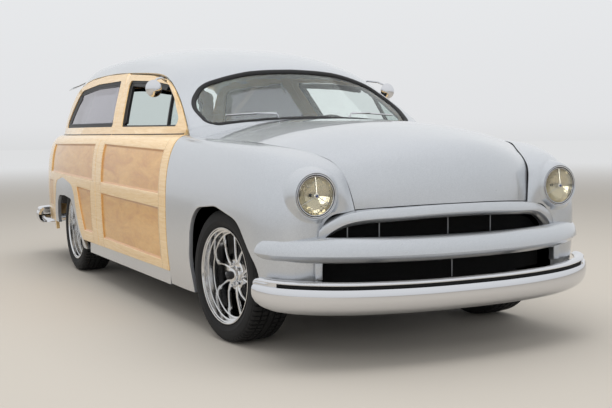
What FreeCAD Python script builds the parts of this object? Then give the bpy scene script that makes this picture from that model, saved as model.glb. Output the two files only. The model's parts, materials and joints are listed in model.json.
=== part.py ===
import FreeCAD, Part
import math
import os

# A two-door station wagon of the early 1950s in its customised form: painted steel
# front end and roof, maple-framed wooden doors, quarters, liftgate and tailgate.
# Millimetres. +X is forward, +Y is the car's left, +Z is up. The origin is on the
# ground under the middle of the car. Tables give x as "ahead" of the front axle.

V = FreeCAD.Vector

# Driving dimensions
wheelbase = 2896.0
front_axle_x = 1708.5
rear_axle_x = front_axle_x - wheelbase
tyre_radius = 323.5
tyre_half_width = 107.0
wheel_plane_y = 730.0
rim_half_width = 99.0
rim_lip_radius = 235.5
bead_seat_radius = 221.0
barrel_radius = 203.0
barrel_wall = 8.0
spindle_radius = 20.0
running_clearance = 0.05
kingpin_y = 660.0
kingpin_radius = 16.0
parked_steer = 6.0

skin = 18.0
quarter_wall = 24.0
door_wall = 58.0
frame_wall = 34.0
roof_wall = 26.0
glass_wall = 6.0
panel_relief = 9.0
shut_gap = 6.0
seam_gap = 0.3
seat_gap = 0.5
moving_gap = 5.5

belt_z = 1003.0
rocker_top_z = 266.0
quarter_foot_z = 330.0
rocker_bottom_z = 192.0

door_front_ahead = -666.0
door_rear_ahead = -2090.0
door_bevel = math.tan(math.radians(12.0))
tail_edge_y = 600.0


def ax(ahead):
    return front_axle_x + ahead


# Curves and outlines

def rounded_points(corners):
    """Corners (a, b, radius) of a closed outline become lines and arcs."""
    pieces = []
    count = len(corners)
    for i in range(count):
        pa, pb, radius = corners[i]
        qa, qb, _ = corners[i - 1]
        ra, rb, _ = corners[(i + 1) % count]
        back = V(qa - pa, qb - pb, 0)
        ahead = V(ra - pa, rb - pb, 0)
        corner = V(pa, pb, 0)
        if radius <= 0:
            pieces.append((corner,))
            continue
        half = back.getAngle(ahead) / 2.0
        reach = min(radius / math.tan(half), 0.49 * min(back.Length, ahead.Length))
        true_radius = reach * math.tan(half)
        back.normalize()
        ahead.normalize()
        inward = (back + ahead)
        inward.normalize()
        middle = corner + inward * (true_radius / math.sin(half) - true_radius)
        pieces.append((corner + back * reach, middle, corner + ahead * reach))
    return pieces


def outline_wire(corners, place):
    """A wire of lines and arcs; place turns (a, b) into a point in space."""
    pieces = rounded_points(corners)
    edges = []
    for i, piece in enumerate(pieces):
        points = [place(p.x, p.y) for p in piece]
        if len(points) == 3:
            edges.append(Part.Arc(*points).toShape())
        following = pieces[(i + 1) % len(pieces)][0]
        start = points[-1]
        end = place(following.x, following.y)
        if (end - start).Length > 0.01:
            edges.append(Part.makeLine(start, end))
    return Part.Wire(edges)


def side_prism(corners, y_low, y_high, lean=0.0):
    """A side-view outline (ahead, z, radius) carried across the car."""
    wire = outline_wire(corners, lambda a, b: V(ax(a) + lean * y_low, y_low, b))
    span = y_high - y_low
    return Part.Face(wire).extrude(V(lean * span, span, 0))


def plan_prism(corners, z_low, z_high):
    wire = outline_wire(corners, lambda a, b: V(ax(a), b, z_low))
    return Part.Face(wire).extrude(V(0, 0, z_high - z_low))


def front_prism(corners, ahead_low, ahead_high):
    wire = outline_wire(corners, lambda a, b: V(ax(ahead_low), a, b))
    return Part.Face(wire).extrude(V(ahead_high - ahead_low, 0, 0))


def block(ahead_low, ahead_high, y_low, y_high, z_low, z_high):
    return Part.makeBox(ahead_high - ahead_low, y_high - y_low, z_high - z_low,
                        V(ax(ahead_low), y_low, z_low))


def tube_y(ahead, z, radius, y_low, y_high):
    return Part.makeCylinder(radius, y_high - y_low, V(ax(ahead), y_low, z), V(0, 1, 0))


def mirrored(shape):
    return shape.mirror(V(0, 0, 0), V(0, 1, 0))


def pair(shape):
    return Part.makeCompound([shape, mirrored(shape)])


def fused(shapes):
    whole = shapes[0].multiFuse(shapes[1:]) if len(shapes) > 1 else shapes[0]
    return whole.removeSplitter()


# Curved panels

def normals(grid):
    rows = len(grid)
    columns = len(grid[0])
    found = []
    for i in range(rows):
        line = []
        for j in range(columns):
            along = grid[min(i + 1, rows - 1)][j] - grid[max(i - 1, 0)][j]
            across = grid[i][min(j + 1, columns - 1)] - grid[i][max(j - 1, 0)]
            normal = along.cross(across)
            normal.normalize()
            line.append(normal)
        found.append(line)
    return found


def inset(grid, depth, towards):
    """The same grid, moved by depth along its normals to the side of a point."""
    found = normals(grid)
    moved = []
    for line, normal_line in zip(grid, found):
        moved.append([p + n * (depth if n.dot(towards - p) > 0 else -depth)
                      for p, n in zip(line, normal_line)])
    return moved


def spline_poles(points, spans):
    """Control points of the natural cubic spline through points, knots doubled."""
    last = len(points) - 1
    right = [(points[1] - points[0]) * (3.0 / spans[0])]
    below = [0.0]
    middle = [2.0]
    above = [1.0]
    for i in range(1, last):
        before, after = spans[i - 1], spans[i]
        below.append(1.0 / before)
        middle.append(2.0 / before + 2.0 / after)
        above.append(1.0 / after)
        right.append((points[i] - points[i - 1]) * (3.0 / before ** 2)
                     + (points[i + 1] - points[i]) * (3.0 / after ** 2))
    below.append(1.0)
    middle.append(2.0)
    above.append(0.0)
    right.append((points[last] - points[last - 1]) * (3.0 / spans[-1]))
    for i in range(1, last + 1):
        factor = below[i] / middle[i - 1]
        middle[i] -= factor * above[i - 1]
        right[i] = right[i] - right[i - 1] * factor
    tangents = [right[last] * (1.0 / middle[last])]
    for i in range(last - 1, -1, -1):
        tangents.insert(0, (right[i] - tangents[0] * above[i]) * (1.0 / middle[i]))
    poles = []
    for i, (point, tangent) in enumerate(zip(points, tangents)):
        if i > 0:
            poles.append(point - tangent * (spans[i - 1] / 3.0))
        else:
            poles.append(point)
        if i < last:
            poles.append(point + tangent * (spans[i] / 3.0))
        else:
            poles.append(point)
    return poles


def mean_spans(lines):
    """The mean distance between neighbouring points over several lines."""
    spans = []
    for i in range(len(lines[0]) - 1):
        spans.append(sum((line[i + 1] - line[i]).Length for line in lines) / len(lines))
    return spans


def knot_row(spans):
    knots = [0.0]
    for span in spans:
        knots.append(knots[-1] + span)
    return knots, [4] + [2] * (len(knots) - 2) + [4]


def spans_of(grid):
    return mean_spans([list(column) for column in zip(*grid)]), mean_spans(grid)


def surface_poles(grid, spans):
    """Control points of one smooth surface through every point of the grid."""
    columns = [list(column) for column in zip(*grid)]
    through_rows = [spline_poles(column, spans[0]) for column in columns]
    return [spline_poles(list(row), spans[1]) for row in zip(*through_rows)]


def spline_face(poles, spans_u, spans_v):
    """A face from control points; no spans one way means straight that way."""
    knots_u, mults_u = knot_row(spans_u) if spans_u else ([0.0, 1.0], [2, 2])
    knots_v, mults_v = knot_row(spans_v) if spans_v else ([0.0, 1.0], [2, 2])
    surface = Part.BSplineSurface()
    surface.buildFromPolesMultsKnots(poles, mults_u, mults_v, knots_u, knots_v, False, False,
                                     3 if spans_u else 1, 3 if spans_v else 1)
    return surface.toShape()


def panel(grid, wall, towards, start=0.0):
    """A wall between the grid's surface, or start below it, and an inner one."""
    spans_u, spans_v = spans_of(grid)
    spans = (spans_u, spans_v)
    outer = surface_poles(inset(grid, start, towards) if start else grid, spans)
    inner = surface_poles(inset(grid, start + wall, towards), spans)
    faces = [spline_face(outer, spans_u, spans_v), spline_face(inner, spans_u, spans_v)]
    for end in (0, -1):
        faces.append(spline_face([outer[end], inner[end]], None, spans_v))
        faces.append(spline_face([[row[end] for row in outer], [row[end] for row in inner]],
                                 None, spans_u))
    shell = Part.makeShell(faces)
    shell.sewShape()
    solid = Part.makeSolid(shell)
    if solid.Volume < 0:
        solid.reverse()
    return solid


def flank_section(crown, side, foot, squareness):
    """Points from the shoulder, round to the fullest point and down to the foot."""
    points = []
    for degrees in (0.0, 20.0, 38.0, 54.0, 70.0, 90.0):
        angle = math.radians(degrees)
        out = math.sin(angle) ** (2.0 / squareness)
        up = math.cos(angle) ** (2.0 / squareness) if degrees < 90.0 else 0.0
        points.append(V(crown.x + (side.x - crown.x) * out,
                        crown.y + (side.y - crown.y) * out,
                        side.z + (crown.z - side.z) * up))
    for share in (0.5, 1.0):
        points.append(V(side.x + (foot.x - side.x) * share ** 2,
                        side.y + (foot.y - side.y) * share ** 2,
                        side.z + (foot.z - side.z) * share))
    return points


# The left front fender, from the door forward and round the nose to the grille.
# Each row is one section: seam with the hood, crown, fullest point and foot.
# Columns: ahead, y and z of the seam, the crown, the fullest point and the foot.
fender_rows = (
    (-660, 700, 988, -660, 741, 1003, -660, 884, 588, -660, 857, 200),
    (-360, 700, 982, -360, 738, 987, -360, 886, 585, -360, 860, 200),
    (-60, 698, 972, -60, 735, 973, -60, 887, 580, -60, 864, 215),
    (200, 688, 958, 200, 726, 958, 215, 887, 578, 215, 868, 235),
    (350, 645, 943, 350, 702, 943, 400, 883, 572, 400, 864, 248),
    (455, 585, 922, 460, 665, 921, 522, 866, 566, 515, 846, 256),
    (535, 548, 897, 552, 630, 897, 607, 822, 560, 590, 802, 260),
    (600, 524, 866, 622, 598, 866, 655, 765, 560, 633, 748, 260),
    (645, 508, 820, 662, 565, 826, 674, 705, 560, 645, 694, 260),
    (667, 490, 745, 680, 530, 747, 674, 660, 560, 646, 664, 260),
    (680, 476, 668, 678, 515, 662, 656, 638, 530, 641, 656, 260),
)
body_core = V(ax(-1600.0), 0.0, 450.0)


def fender_grid():
    grid = []
    for row in fender_rows:
        sx, sy, sz, cx, cy, cz, dx, dy, dz, fx, fy, fz = row
        seam = V(ax(sx), sy, sz)
        crown = V(ax(cx), cy, cz)
        lower = flank_section(crown, V(ax(dx), dy, dz), V(ax(fx), fy, fz), 2.45)
        rise = V(0, 0, 1.5)
        grid.append([seam, (seam + crown) * 0.5 + rise] + lower)
    return grid


fender_core = V(ax(150.0), 350.0, 450.0)

# Front wheel opening in the fender, seen from the side: ahead, z, corner radius
front_opening = (
    (-284, 150, 0), (-326, 372, 160), (-262, 640, 130), (60, 668, 260),
    (330, 618, 190), (505, 420, 120), (540, 150, 0),
)

headlamp_ahead = 683.0
headlamp_y = 667.0
headlamp_z = 739.0
headlamp_radius = 96.0
headlamp_clearance = 0.5


def front_fender():
    body = panel(fender_grid(), skin, fender_core)
    body = body.cut(side_prism(front_opening, 560, 1000))
    hole = Part.makeCylinder(headlamp_radius + headlamp_clearance, 200,
                             V(ax(headlamp_ahead - 120), headlamp_y, headlamp_z), V(1, 0, 0))
    pillar_seat = block(-720, -590, 600, 750, 940, 1100)
    return body.cut(hole).cut(pillar_seat)


def headlamp():
    bowl = Part.makeCylinder(headlamp_radius - 6, 60,
                             V(ax(headlamp_ahead - 66), headlamp_y, headlamp_z), V(1, 0, 0))
    ring = Part.makeCylinder(headlamp_radius, 22,
                             V(ax(headlamp_ahead - 18), headlamp_y, headlamp_z), V(1, 0, 0))
    dome_radius = 190.0
    dome_back = math.sqrt(dome_radius ** 2 - (headlamp_radius - 8) ** 2)
    dome = Part.makeSphere(dome_radius, V(ax(headlamp_ahead - dome_back - 4), headlamp_y, headlamp_z))
    lens_zone = Part.makeCylinder(headlamp_radius - 8, 60,
                                  V(ax(headlamp_ahead - 10), headlamp_y, headlamp_z), V(1, 0, 0))
    return fused([bowl, ring, dome.common(lens_zone)])


# The hood: centre crease and side seam, from the cowl to the lip
# Columns: crease ahead and z, then seam ahead, y and z.
hood_rows = (
    (-585, 1088, -560, 694, 985),
    (-250, 1081, -250, 694, 977),
    (60, 1069, 60, 690, 967),
    (300, 1050, 262, 670, 953),
    (500, 1021, 420, 598, 929),
    (640, 990, 520, 548, 901),
    (735, 955, 590, 523, 870),
    (790, 908, 635, 506, 825),
    (820, 845, 657, 489, 765),
    (833, 765, 669, 478, 712),
    (838, 694, 674, 470, 672),
)


def hood_grid():
    grid = []
    for cx, cz, sx, sy, sz in hood_rows:
        row = []
        for share in (0.0, 0.25, 0.5, 0.75, 1.0):
            row.append(V(ax(cx + (sx - cx) * share ** 1.9), sy * share,
                         cz + (sz - cz) * share ** 2.1))
        grid.append(row)
    return grid


def hood():
    half = panel(hood_grid(), skin, V(ax(100.0), 300.0, 500.0))
    return fused([half, mirrored(half)])


# Roof, pillars and cowl top are one pressing; the windshield is cut from it
# Columns: centre ahead and z, then edge ahead, y and z.
roof_rows = (
    (-602, 1078, -618, 757, 1018),
    (-700, 1165, -800, 718, 1140),
    (-810, 1275, -970, 687, 1232),
    (-903, 1372, -1130, 662, 1300),
    (-1050, 1440, -1300, 641, 1352),
    (-1300, 1505, -1570, 622, 1388),
    (-1750, 1566, -2000, 605, 1415),
    (-2400, 1602, -2500, 598, 1437),
    (-3000, 1597, -3000, 596, 1437),
    (-3480, 1562, -3360, 599, 1408),
    (-3790, 1492, -3560, 606, 1352),
)


def roof_grid(rows=roof_rows):
    grid = []
    for cx, cz, ex, ey, ez in rows:
        row = []
        for share in (-1.0, -0.92, -0.78, -0.55, -0.28, 0.0, 0.28, 0.55, 0.78, 0.92, 1.0):
            reach = abs(share)
            fall = 1.0 - reach ** 2.6
            row.append(V(ax(cx + (ex - cx) * reach ** 3.0), ey * share,
                         ez + (cz - ez) * fall ** 0.55))
        grid.append(row)
    return grid


roof_core = V(ax(-2200.0), 0.0, 700.0)

# Windshield opening, seen along the rake: across, up the slope, corner radius
screen_rake = math.radians(46.0)
screen_base_ahead = -630.0
screen_base_z = 1092.0
screen_outline = (
    (-640, -38, 70), (-300, -12, 900), (0, 0, 0), (300, -12, 900), (640, -38, 70),
    (672, 190, 260), (560, 352, 130), (280, 384, 700), (0, 396, 0),
    (-280, 384, 700), (-560, 352, 130), (-672, 190, 260),
)


def screen_prism(shrink, depth_low, depth_high):
    """The windshield outline pulled in by shrink and carried along the view."""
    middle_up = 180.0
    corners = []
    for across, up, radius in screen_outline:
        side = across - math.copysign(shrink, across) if across else 0.0
        level = up + shrink if up < middle_up else up - shrink
        corners.append((side, level, radius))
    up_axis = V(-math.cos(screen_rake), 0, math.sin(screen_rake))
    out_axis = V(math.sin(screen_rake), 0, math.cos(screen_rake))
    base = V(ax(screen_base_ahead), 0, screen_base_z)

    def place(a, b):
        return base + V(0, a, 0) + up_axis * b + out_axis * depth_low

    wire = outline_wire(corners, place)
    return Part.Face(wire).extrude(out_axis * (depth_high - depth_low))


def roof_zone(gap):
    """The roof pressing grown by gap all round, for cutting what fits up to it."""
    rows = [(cx, cz, ex, ey + gap * 0.4, ez - gap) for cx, cz, ex, ey, ez in roof_rows]
    return panel(roof_grid(rows), roof_wall + 2.0 * gap, roof_core, start=-gap)


# The rear header hangs from the roof, and the liftgate closes against it
header_rows = (
    (1240, -3925, -3735, 606), (1340, -3862, -3640, 585), (1456, -3792, -3520, 560), (1496, -3768, -3496, 554),
)
visor_line = ((0, -3786, 1488), (200, -3776, 1482), (380, -3748, 1462), (500, -3712, 1432), (590, -3668, 1392),
              (650, -3640, 1372))
header_pad_y = 120.0
visor_reach = 95.0
visor_sheet = 9.0
pillar_foot = ((-661, 1004, 0), (-606, 1004, 0), (-616, 1020, 0), (-661, 1044, 0))


def rear_visor():
    """The thin eave that follows the roof's rear edge out past the corners."""
    line = [(-y, a, z) for y, a, z in reversed(visor_line[1:])] + list(visor_line)
    wires = []
    for y, ahead, z in line:
        root = V(ax(ahead + 30), y, z + 6)
        tip = V(ax(ahead - visor_reach), y, z - 6)
        sheet = V(0, 0, visor_sheet)
        wires.append(Part.makePolygon([root, tip, tip + sheet * 0.6, root + sheet, root]))
    blade = Part.makeLoft(wires, True, True)
    blade = blade.cut(roof_zone(seam_gap))
    return max(blade.Solids, key=lambda solid: solid.Volume)


def roof_shell():
    shell = panel(roof_grid(), roof_wall, roof_core)
    shell = shell.cut(screen_prism(0.0, -420, 260))
    header = panel(tail_grid(header_rows), 14.0, tail_core, start=frame_wall + seat_gap)
    header = header.common(block(-4000, -3500, -330, 330, 1408, 1486))
    rebate = panel(tail_grid(header_rows), moving_gap, tail_core, start=frame_wall)
    seat_pad = block(-4000, -3500, -header_pad_y, header_pad_y, 1400, 1426)
    header = header.cut(rebate.cut(seat_pad))
    foot = side_prism(pillar_foot, 714, 750)
    return fused([shell, header, foot, mirrored(foot)])


def windshield():
    rows = roof_rows[:6]
    pane = panel(roof_grid(rows), glass_wall, roof_core, start=9.0)
    return pane.common(screen_prism(seam_gap, -420, 260))


# The wooden side, from the door to the rounded corner beside the tailgate
# Columns: belt ahead and y, fullest point ahead and y, foot ahead and y, squareness.
flank_rows = (
    (-640, 741, -640, 884, -640, 857, 2.45),
    (-1150, 762, -1150, 886, -1150, 859, 2.5),
    (-1650, 777, -1650, 887, -1650, 860, 2.6),
    (-2120, 784, -2120, 887, -2120, 861, 2.7),
    (-2600, 779, -2600, 885, -2600, 860, 2.7),
    (-3050, 762, -3050, 879, -3050, 854, 2.7),
    (-3400, 740, -3400, 866, -3400, 842, 2.6),
    (-3700, 706, -3720, 838, -3720, 815, 2.5),
    (-3890, 668, -3960, 783, -3950, 765, 2.45),
    (-3990, 636, -4110, 700, -4095, 690, 2.4),
    (-4040, 600, -4172, 600, -4160, 600, 2.4),
)
flank_side_z = 590.0
flank_foot_z = 200.0


def flank_grid(first, last):
    grid = []
    for bx, by, sx, sy, fx, fy, squareness in flank_rows[first:last]:
        grid.append(flank_section(V(ax(bx), by, belt_z), V(ax(sx), sy, flank_side_z),
                                  V(ax(fx), fy, flank_foot_z), squareness))
    return grid


# The upper wooden frame, between belt and drip rail
# Columns: ahead, y at the belt, y and z at the top.
frame_rows = (
    (-560, 764, 640, 1300),
    (-900, 768, 640, 1360),
    (-1300, 772, 634, 1395),
    (-1700, 776, 619, 1425),
    (-2120, 777, 602, 1450),
    (-2600, 774, 594, 1462),
    (-3050, 762, 588, 1462),
    (-3400, 740, 587, 1450),
    (-3700, 704, 583, 1420),
    (-3960, 652, 560, 1380),
)


def frame_grid(first, last):
    grid = []
    for ahead, belt_y, top_y, top_z in frame_rows[first:last]:
        row = []
        for share in (0.0, 0.33, 0.66, 1.0):
            row.append(V(ax(ahead), belt_y + (top_y - belt_y) * share ** 1.12,
                         belt_z - 2 + (top_z - belt_z) * share))
        grid.append(row)
    return grid


# Side-view outlines: ahead, z, corner radius
upper_door_outline = (
    (-2003, 990, 0), (-667, 990, 0), (-667, 1036, 0), (-858, 1163, 500), (-1080, 1270, 400),
    (-1292, 1335, 400), (-1602, 1376, 600), (-2320, 1424, 0),
)
upper_door_rear = ((-560, 980, 0), (-560, 1480, 0), (-2222, 1480, 0), (-1988, 980, 0))
upper_quarter_front = ((-1994, 980, 0), (-2228, 1480, 0), (-4200, 1480, 0), (-4200, 980, 0))
upper_quarter_outline = (
    (-1990, 990, 0), (-3938, 990, 0), (-3748, 1184, 300), (-3585, 1335, 160), (-3440, 1386, 200),
    (-3180, 1423, 500), (-2700, 1434, 900), (-2150, 1420, 900), (-1960, 1405, 0),
)
door_window = (
    (-1888, 1056, 14), (-770, 1050, 30), (-1010, 1215, 300), (-1190, 1300, 110), (-1500, 1335, 300),
    (-2075, 1368, 30),
)
quarter_window = (
    (-2102, 1058, 14), (-3650, 1062, 30), (-3475, 1290, 130), (-3380, 1352, 130), (-2900, 1380, 400),
    (-2292, 1376, 20),
)
door_panels = (
    ((-1950, 697, 6), (-784, 684, 6), (-784, 921, 6), (-1950, 946, 6)),
    ((-1950, 330, 6), (-790, 318, 6), (-790, 606, 6), (-1950, 626, 6)),
)
quarter_panels = (
    ((-2180, 702, 6), (-3535, 722, 6), (-3535, 936, 6), (-2180, 944, 6)),
    ((-2230, 340, 6), (-2450, 340, 6), (-2612, 640, 6), (-2230, 630, 6)),
)
arch_band = (
    (-2370, 150, 0), (-2600, 320, 300), (-2735, 640, 160), (-3060, 690, 300), (-3330, 655, 120),
    (-3420, 420, 60), (-3470, 150, 0),
)
rear_opening = (
    (-2480, 140, 0), (-2690, 400, 150), (-2790, 540, 120), (-3020, 556, 300), (-3260, 545, 110),
    (-3320, 380, 120), (-3290, 140, 0),
)
tall_low = 500.0
tall_high = max(row[3] for row in flank_rows) + 113.0


def recesses(outlines, grid):
    """Sunk fields between the rails, panel_relief deep."""
    layer = panel(grid, panel_relief, body_core, start=0.0)
    proud = panel(grid, panel_relief, body_core, start=-panel_relief)
    cutters = []
    for outline in outlines:
        prism = side_prism(outline, tall_low, tall_high)
        cutters.append(prism.common(layer))
        cutters.append(prism.common(proud))
    return cutters


def door():
    grid = flank_grid(0, 5)
    lower = panel(grid, door_wall, body_core)
    edge = tail_edge_y
    lean = -door_bevel
    outer_skin_y = 885.0
    shift = door_bevel * outer_skin_y
    keep = side_prism(((door_rear_ahead + shift, rocker_top_z + shut_gap, 0),
                       (200, rocker_top_z + shut_gap, 0), (200, belt_z + 5, 0),
                       (door_rear_ahead + shift, belt_z + 5, 0)), edge, tall_high, lean)
    front = side_prism(((-2400, 200, 0), (door_front_ahead, 200, 0), (door_front_ahead, 1100, 0),
                        (-2400, 1100, 0)), edge, tall_high)
    lower = lower.common(keep).common(front)
    for cutter in recesses(door_panels, grid):
        lower = lower.cut(cutter)
    upper = panel(frame_grid(0, 6), frame_wall, body_core)
    upper = upper.common(side_prism(upper_door_outline, tall_low, tall_high))
    upper = upper.cut(roof_zone(moving_gap))
    upper = max(upper.Solids, key=lambda solid: solid.Volume)
    rear_shift = door_bevel * 700.0
    rear = [(a + rear_shift, b, r) for a, b, r in upper_door_rear]
    upper = upper.common(side_prism(rear, tall_low, tall_high, lean))
    upper = upper.cut(side_prism(door_window, tall_low, tall_high))
    return fused([lower, upper])


def quarter():
    grid = flank_grid(2, 11)
    lower = panel(grid, quarter_wall, body_core)
    outer_skin_y = 885.0
    shift = door_bevel * outer_skin_y
    front_edge = door_rear_ahead - shut_gap
    keep = side_prism(((front_edge + shift, rocker_top_z, 0), (front_edge + shift, belt_z + 5, 0),
                       (-4600, belt_z + 5, 0), (-4600, quarter_foot_z, 0), (-3300, quarter_foot_z, 0),
                       (-3300, rocker_top_z, 0)), tall_low, tall_high, -door_bevel)
    lower = lower.common(keep)
    lower = lower.cut(side_prism(arch_band, tall_low, tall_high))
    lower = lower.common(block(-4400, -1000, tail_edge_y, tall_high, 0, 1100))
    for cutter in recesses(quarter_panels, grid):
        lower = lower.cut(cutter)
    upper = panel(frame_grid(3, 10), frame_wall, body_core)
    upper = upper.common(side_prism(upper_quarter_outline, tall_low, tall_high))
    upper = upper.cut(roof_zone(seat_gap))
    upper = max(upper.Solids, key=lambda solid: solid.Volume)
    front_shift = door_bevel * 700.0
    front = [(a + front_shift, b, r) for a, b, r in upper_quarter_front]
    upper = upper.common(side_prism(front, tall_low, tall_high, -door_bevel))
    upper = upper.cut(side_prism(quarter_window, tall_low, tall_high))
    return fused([lower, upper])


def rear_arch():
    grid = flank_grid(3, 9)
    band = panel(grid, quarter_wall, body_core)
    band = band.common(side_prism(arch_band, tall_low, tall_high))
    band = band.common(side_prism(((-2000, 205, 0), (-3000, 205, 0), (-3000, quarter_foot_z, 0),
                                   (-3600, quarter_foot_z, 0), (-3600, 800, 0), (-2000, 800, 0)),
                                  tall_low, tall_high))
    return band.cut(side_prism(rear_opening, tall_low, tall_high))


def window_pane(outline, first, last):
    pane = panel(frame_grid(first, last), glass_wall, body_core, start=14.0)
    return pane.common(side_prism(outline, tall_low, tall_high))


vent_outline = ((-775, 1056, 10), (-1005, 1215, 200), (-1100, 1262, 20), (-1000, 1056, 10))


def grown(outline, margin):
    """The outline moved in towards its own middle by about margin."""
    middle_a = sum(p[0] for p in outline) / len(outline)
    middle_b = sum(p[1] for p in outline) / len(outline)
    result = []
    for a, b, radius in outline:
        arm = V(middle_a - a, middle_b - b, 0)
        arm.normalize()
        result.append((a + arm.x * margin, b + arm.y * margin, radius))
    return result


rocker_inner_y = 790.0
rocker_outer_y = 858.0
rocker_front_ahead = -672.0
rocker_rear_ahead = -2366.0


def rocker():
    """The sill, with the step that the shut door lies against."""
    sill = side_prism(((rocker_front_ahead, rocker_bottom_z, 0), (rocker_rear_ahead, rocker_bottom_z, 0),
                       (rocker_rear_ahead, rocker_top_z - 1, 0), (rocker_front_ahead, rocker_top_z - 1, 0)),
                      rocker_inner_y, rocker_outer_y)
    step = panel(flank_grid(0, 5), 10.0, body_core, start=door_wall + seat_gap)
    step = step.common(block(-2060, -800, 700, 900, rocker_top_z - 4, rocker_top_z + 34))
    return fused([sill, step])


# Tail: liftgate above the belt, tailgate below
# Columns: z, ahead at the centre line, ahead and y at the edge.
liftgate_rows = (
    (1016, -4062, -3912, 640),
    (1120, -4000, -3824, 634),
    (1240, -3925, -3722, 616),
    (1340, -3862, -3630, 592),
    (1456, -3792, -3516, 562),
)
liftgate_outline = (
    (-625, 1018, 0), (625, 1018, 0), (612, 1184, 0), (560, 1330, 60), (420, 1414, 150), (0, 1456, 600),
    (-420, 1414, 150), (-560, 1330, 60), (-612, 1184, 0),
)
tailgate_rows = (
    (430, -4178, -4150, 590),
    (600, -4196, -4168, 590),
    (780, -4190, -4160, 590),
    (900, -4160, -4122, 590),
    (965, -4122, -4080, 590),
    (998, -4080, -4040, 590),
)


def tail_grid(rows):
    grid = []
    for z, cx, ex, ey in rows:
        row = []
        for share in (-1.0, -0.75, -0.4, 0.0, 0.4, 0.75, 1.0):
            row.append(V(ax(cx + (ex - cx) * abs(share) ** 2.6), ey * share, z))
        grid.append(row)
    return grid


tail_core = V(ax(-2600.0), 0.0, 700.0)
tailgate_wall = 45.0
liftgate_window = (
    (-550, 1072, 40), (550, 1072, 40), (528, 1240, 200), (470, 1340, 80), (0, 1402, 600),
    (-470, 1340, 80), (-528, 1240, 200),
)
tailgate_panels = (
    ((-520, 500, 6), (-35, 500, 6), (-35, 880, 6), (-520, 880, 6)),
    ((35, 500, 6), (520, 500, 6), (520, 880, 6), (35, 880, 6)),
)


def liftgate():
    body = panel(tail_grid(liftgate_rows), frame_wall, tail_core)
    body = body.common(front_prism(liftgate_outline, -4300, -3400))
    beside = panel(frame_grid(3, 10), frame_wall + 2.0 * moving_gap, body_core, start=-moving_gap)
    beside = beside.common(side_prism(upper_quarter_outline, tall_low, tall_high))
    body = body.cut(beside).cut(mirrored(beside))
    body = max(body.Solids, key=lambda solid: solid.Volume)
    return body.cut(front_prism(liftgate_window, -4300, -3400))


def liftgate_glass():
    pane = panel(tail_grid(liftgate_rows), glass_wall, tail_core, start=14.0)
    return pane.common(front_prism(liftgate_window, -4300, -3400))


def tailgate():
    grid = tail_grid(tailgate_rows)
    body = panel(grid, tailgate_wall, tail_core)
    for outline in tailgate_panels:
        prism = front_prism(outline, -4300, -4000)
        body = body.cut(prism.common(panel(grid, panel_relief, tail_core)))
        body = body.cut(prism.common(panel(grid, panel_relief, tail_core, start=-panel_relief)))
    half = tail_edge_y - shut_gap - 1
    return body.common(block(-4400, -3900, -half, half, 400, 1100))


# Grille and bumpers follow plan curves: ahead at the centre line and out to the tips
def swept_bar(spine, section):
    """A bar lofted through section copies that stand across its plan curve."""
    wires = []
    for i, (ahead, y, z, scale) in enumerate(spine):
        before = spine[max(i - 1, 0)]
        after = spine[min(i + 1, len(spine) - 1)]
        tangent = V(after[0] - before[0], after[1] - before[1], 0)
        tangent.normalize()
        outward = V(tangent.y, -tangent.x, 0)
        if outward.x < 0 and abs(outward.x) > 0.2:
            outward = outward * -1.0
        points = [V(ax(ahead), y, z) + outward * (d * scale) + V(0, 0, h * scale)
                  for d, h in section]
        points.append(points[0])
        wires.append(Part.makePolygon(points))
    return Part.makeLoft(wires, True, False)


def both_ways(half):
    """A left-hand list of (ahead, y, z, scale) from the centre becomes tip to tip."""
    right = [(a, -y, z, s) for a, y, z, s in reversed(half[1:])]
    return right + list(half)


bar_half = (
    (868, 0, 480, 1.0), (858, 200, 480, 1.0), (826, 400, 481, 1.0), (768, 590, 483, 1.0),
    (692, 745, 486, 0.98), (618, 835, 489, 0.92), (560, 872, 492, 0.80), (520, 886, 494, 0.45),
)
surround_half_width = 27.0
surround_depth = 50.0
bar_section = (
    (-72, 72), (-40, 76), (-14, 58), (2, 26), (4, 2), (-8, -18), (-34, -32), (-72, -34),
)
surround_half = (
    (848, 0, 661), (838, 170, 658), (806, 330, 650), (755, 450, 641),
    (712, 530, 624), (686, 590, 594), (668, 626, 560), (662, 640, 522),
)
bumper_half = (
    (905, 0, 300, 1.0), (896, 220, 300, 1.0), (868, 430, 302, 1.0), (815, 620, 305, 1.0),
    (735, 780, 311, 1.0), (655, 870, 318, 0.97), (590, 906, 325, 0.92), (548, 916, 330, 0.80),
)
bumper_section = (
    (-62, 66), (-32, 74), (-16, 68), (-24, 50), (-14, 38), (0, 12), (2, -20), (-14, -50),
    (-44, -74), (-60, -70), (-34, -40), (-26, -6), (-34, 40),
)
rear_bumper_half = (
    (-4322, 0, 330, 1.0), (-4314, 300, 330, 1.0), (-4282, 550, 330, 1.0), (-4212, 730, 332, 1.0),
    (-4110, 850, 335, 0.97), (-3990, 892, 340, 0.93), (-3870, 898, 345, 0.85),
)


def grille_surround():
    """The arched moulding over the grille, which lands on the floating bar."""
    wires = []
    line = [(a, -y, z) for a, y, z in reversed(surround_half[1:])] + list(surround_half)
    for i, (ahead, y, z) in enumerate(line):
        before = line[max(i - 1, 0)]
        after = line[min(i + 1, len(line) - 1)]
        along = V(0, after[1] - before[1], after[2] - before[2])
        along.normalize()
        across = V(0, along.z, -along.y)
        middle = V(ax(ahead), y, z)
        half = across * surround_half_width
        points = [middle - half + V(-surround_depth, 0, 0), middle - half * 0.9 + V(-10, 0, 0),
                  middle - half * 0.2 + V(6, 0, 0), middle + half * 0.8 + V(0, 0, 0),
                  middle + half + V(-12, 0, 0), middle + half + V(-surround_depth, 0, 0)]
        points.append(points[0])
        wires.append(Part.makePolygon(points))
    return Part.makeLoft(wires, True, False)


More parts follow.
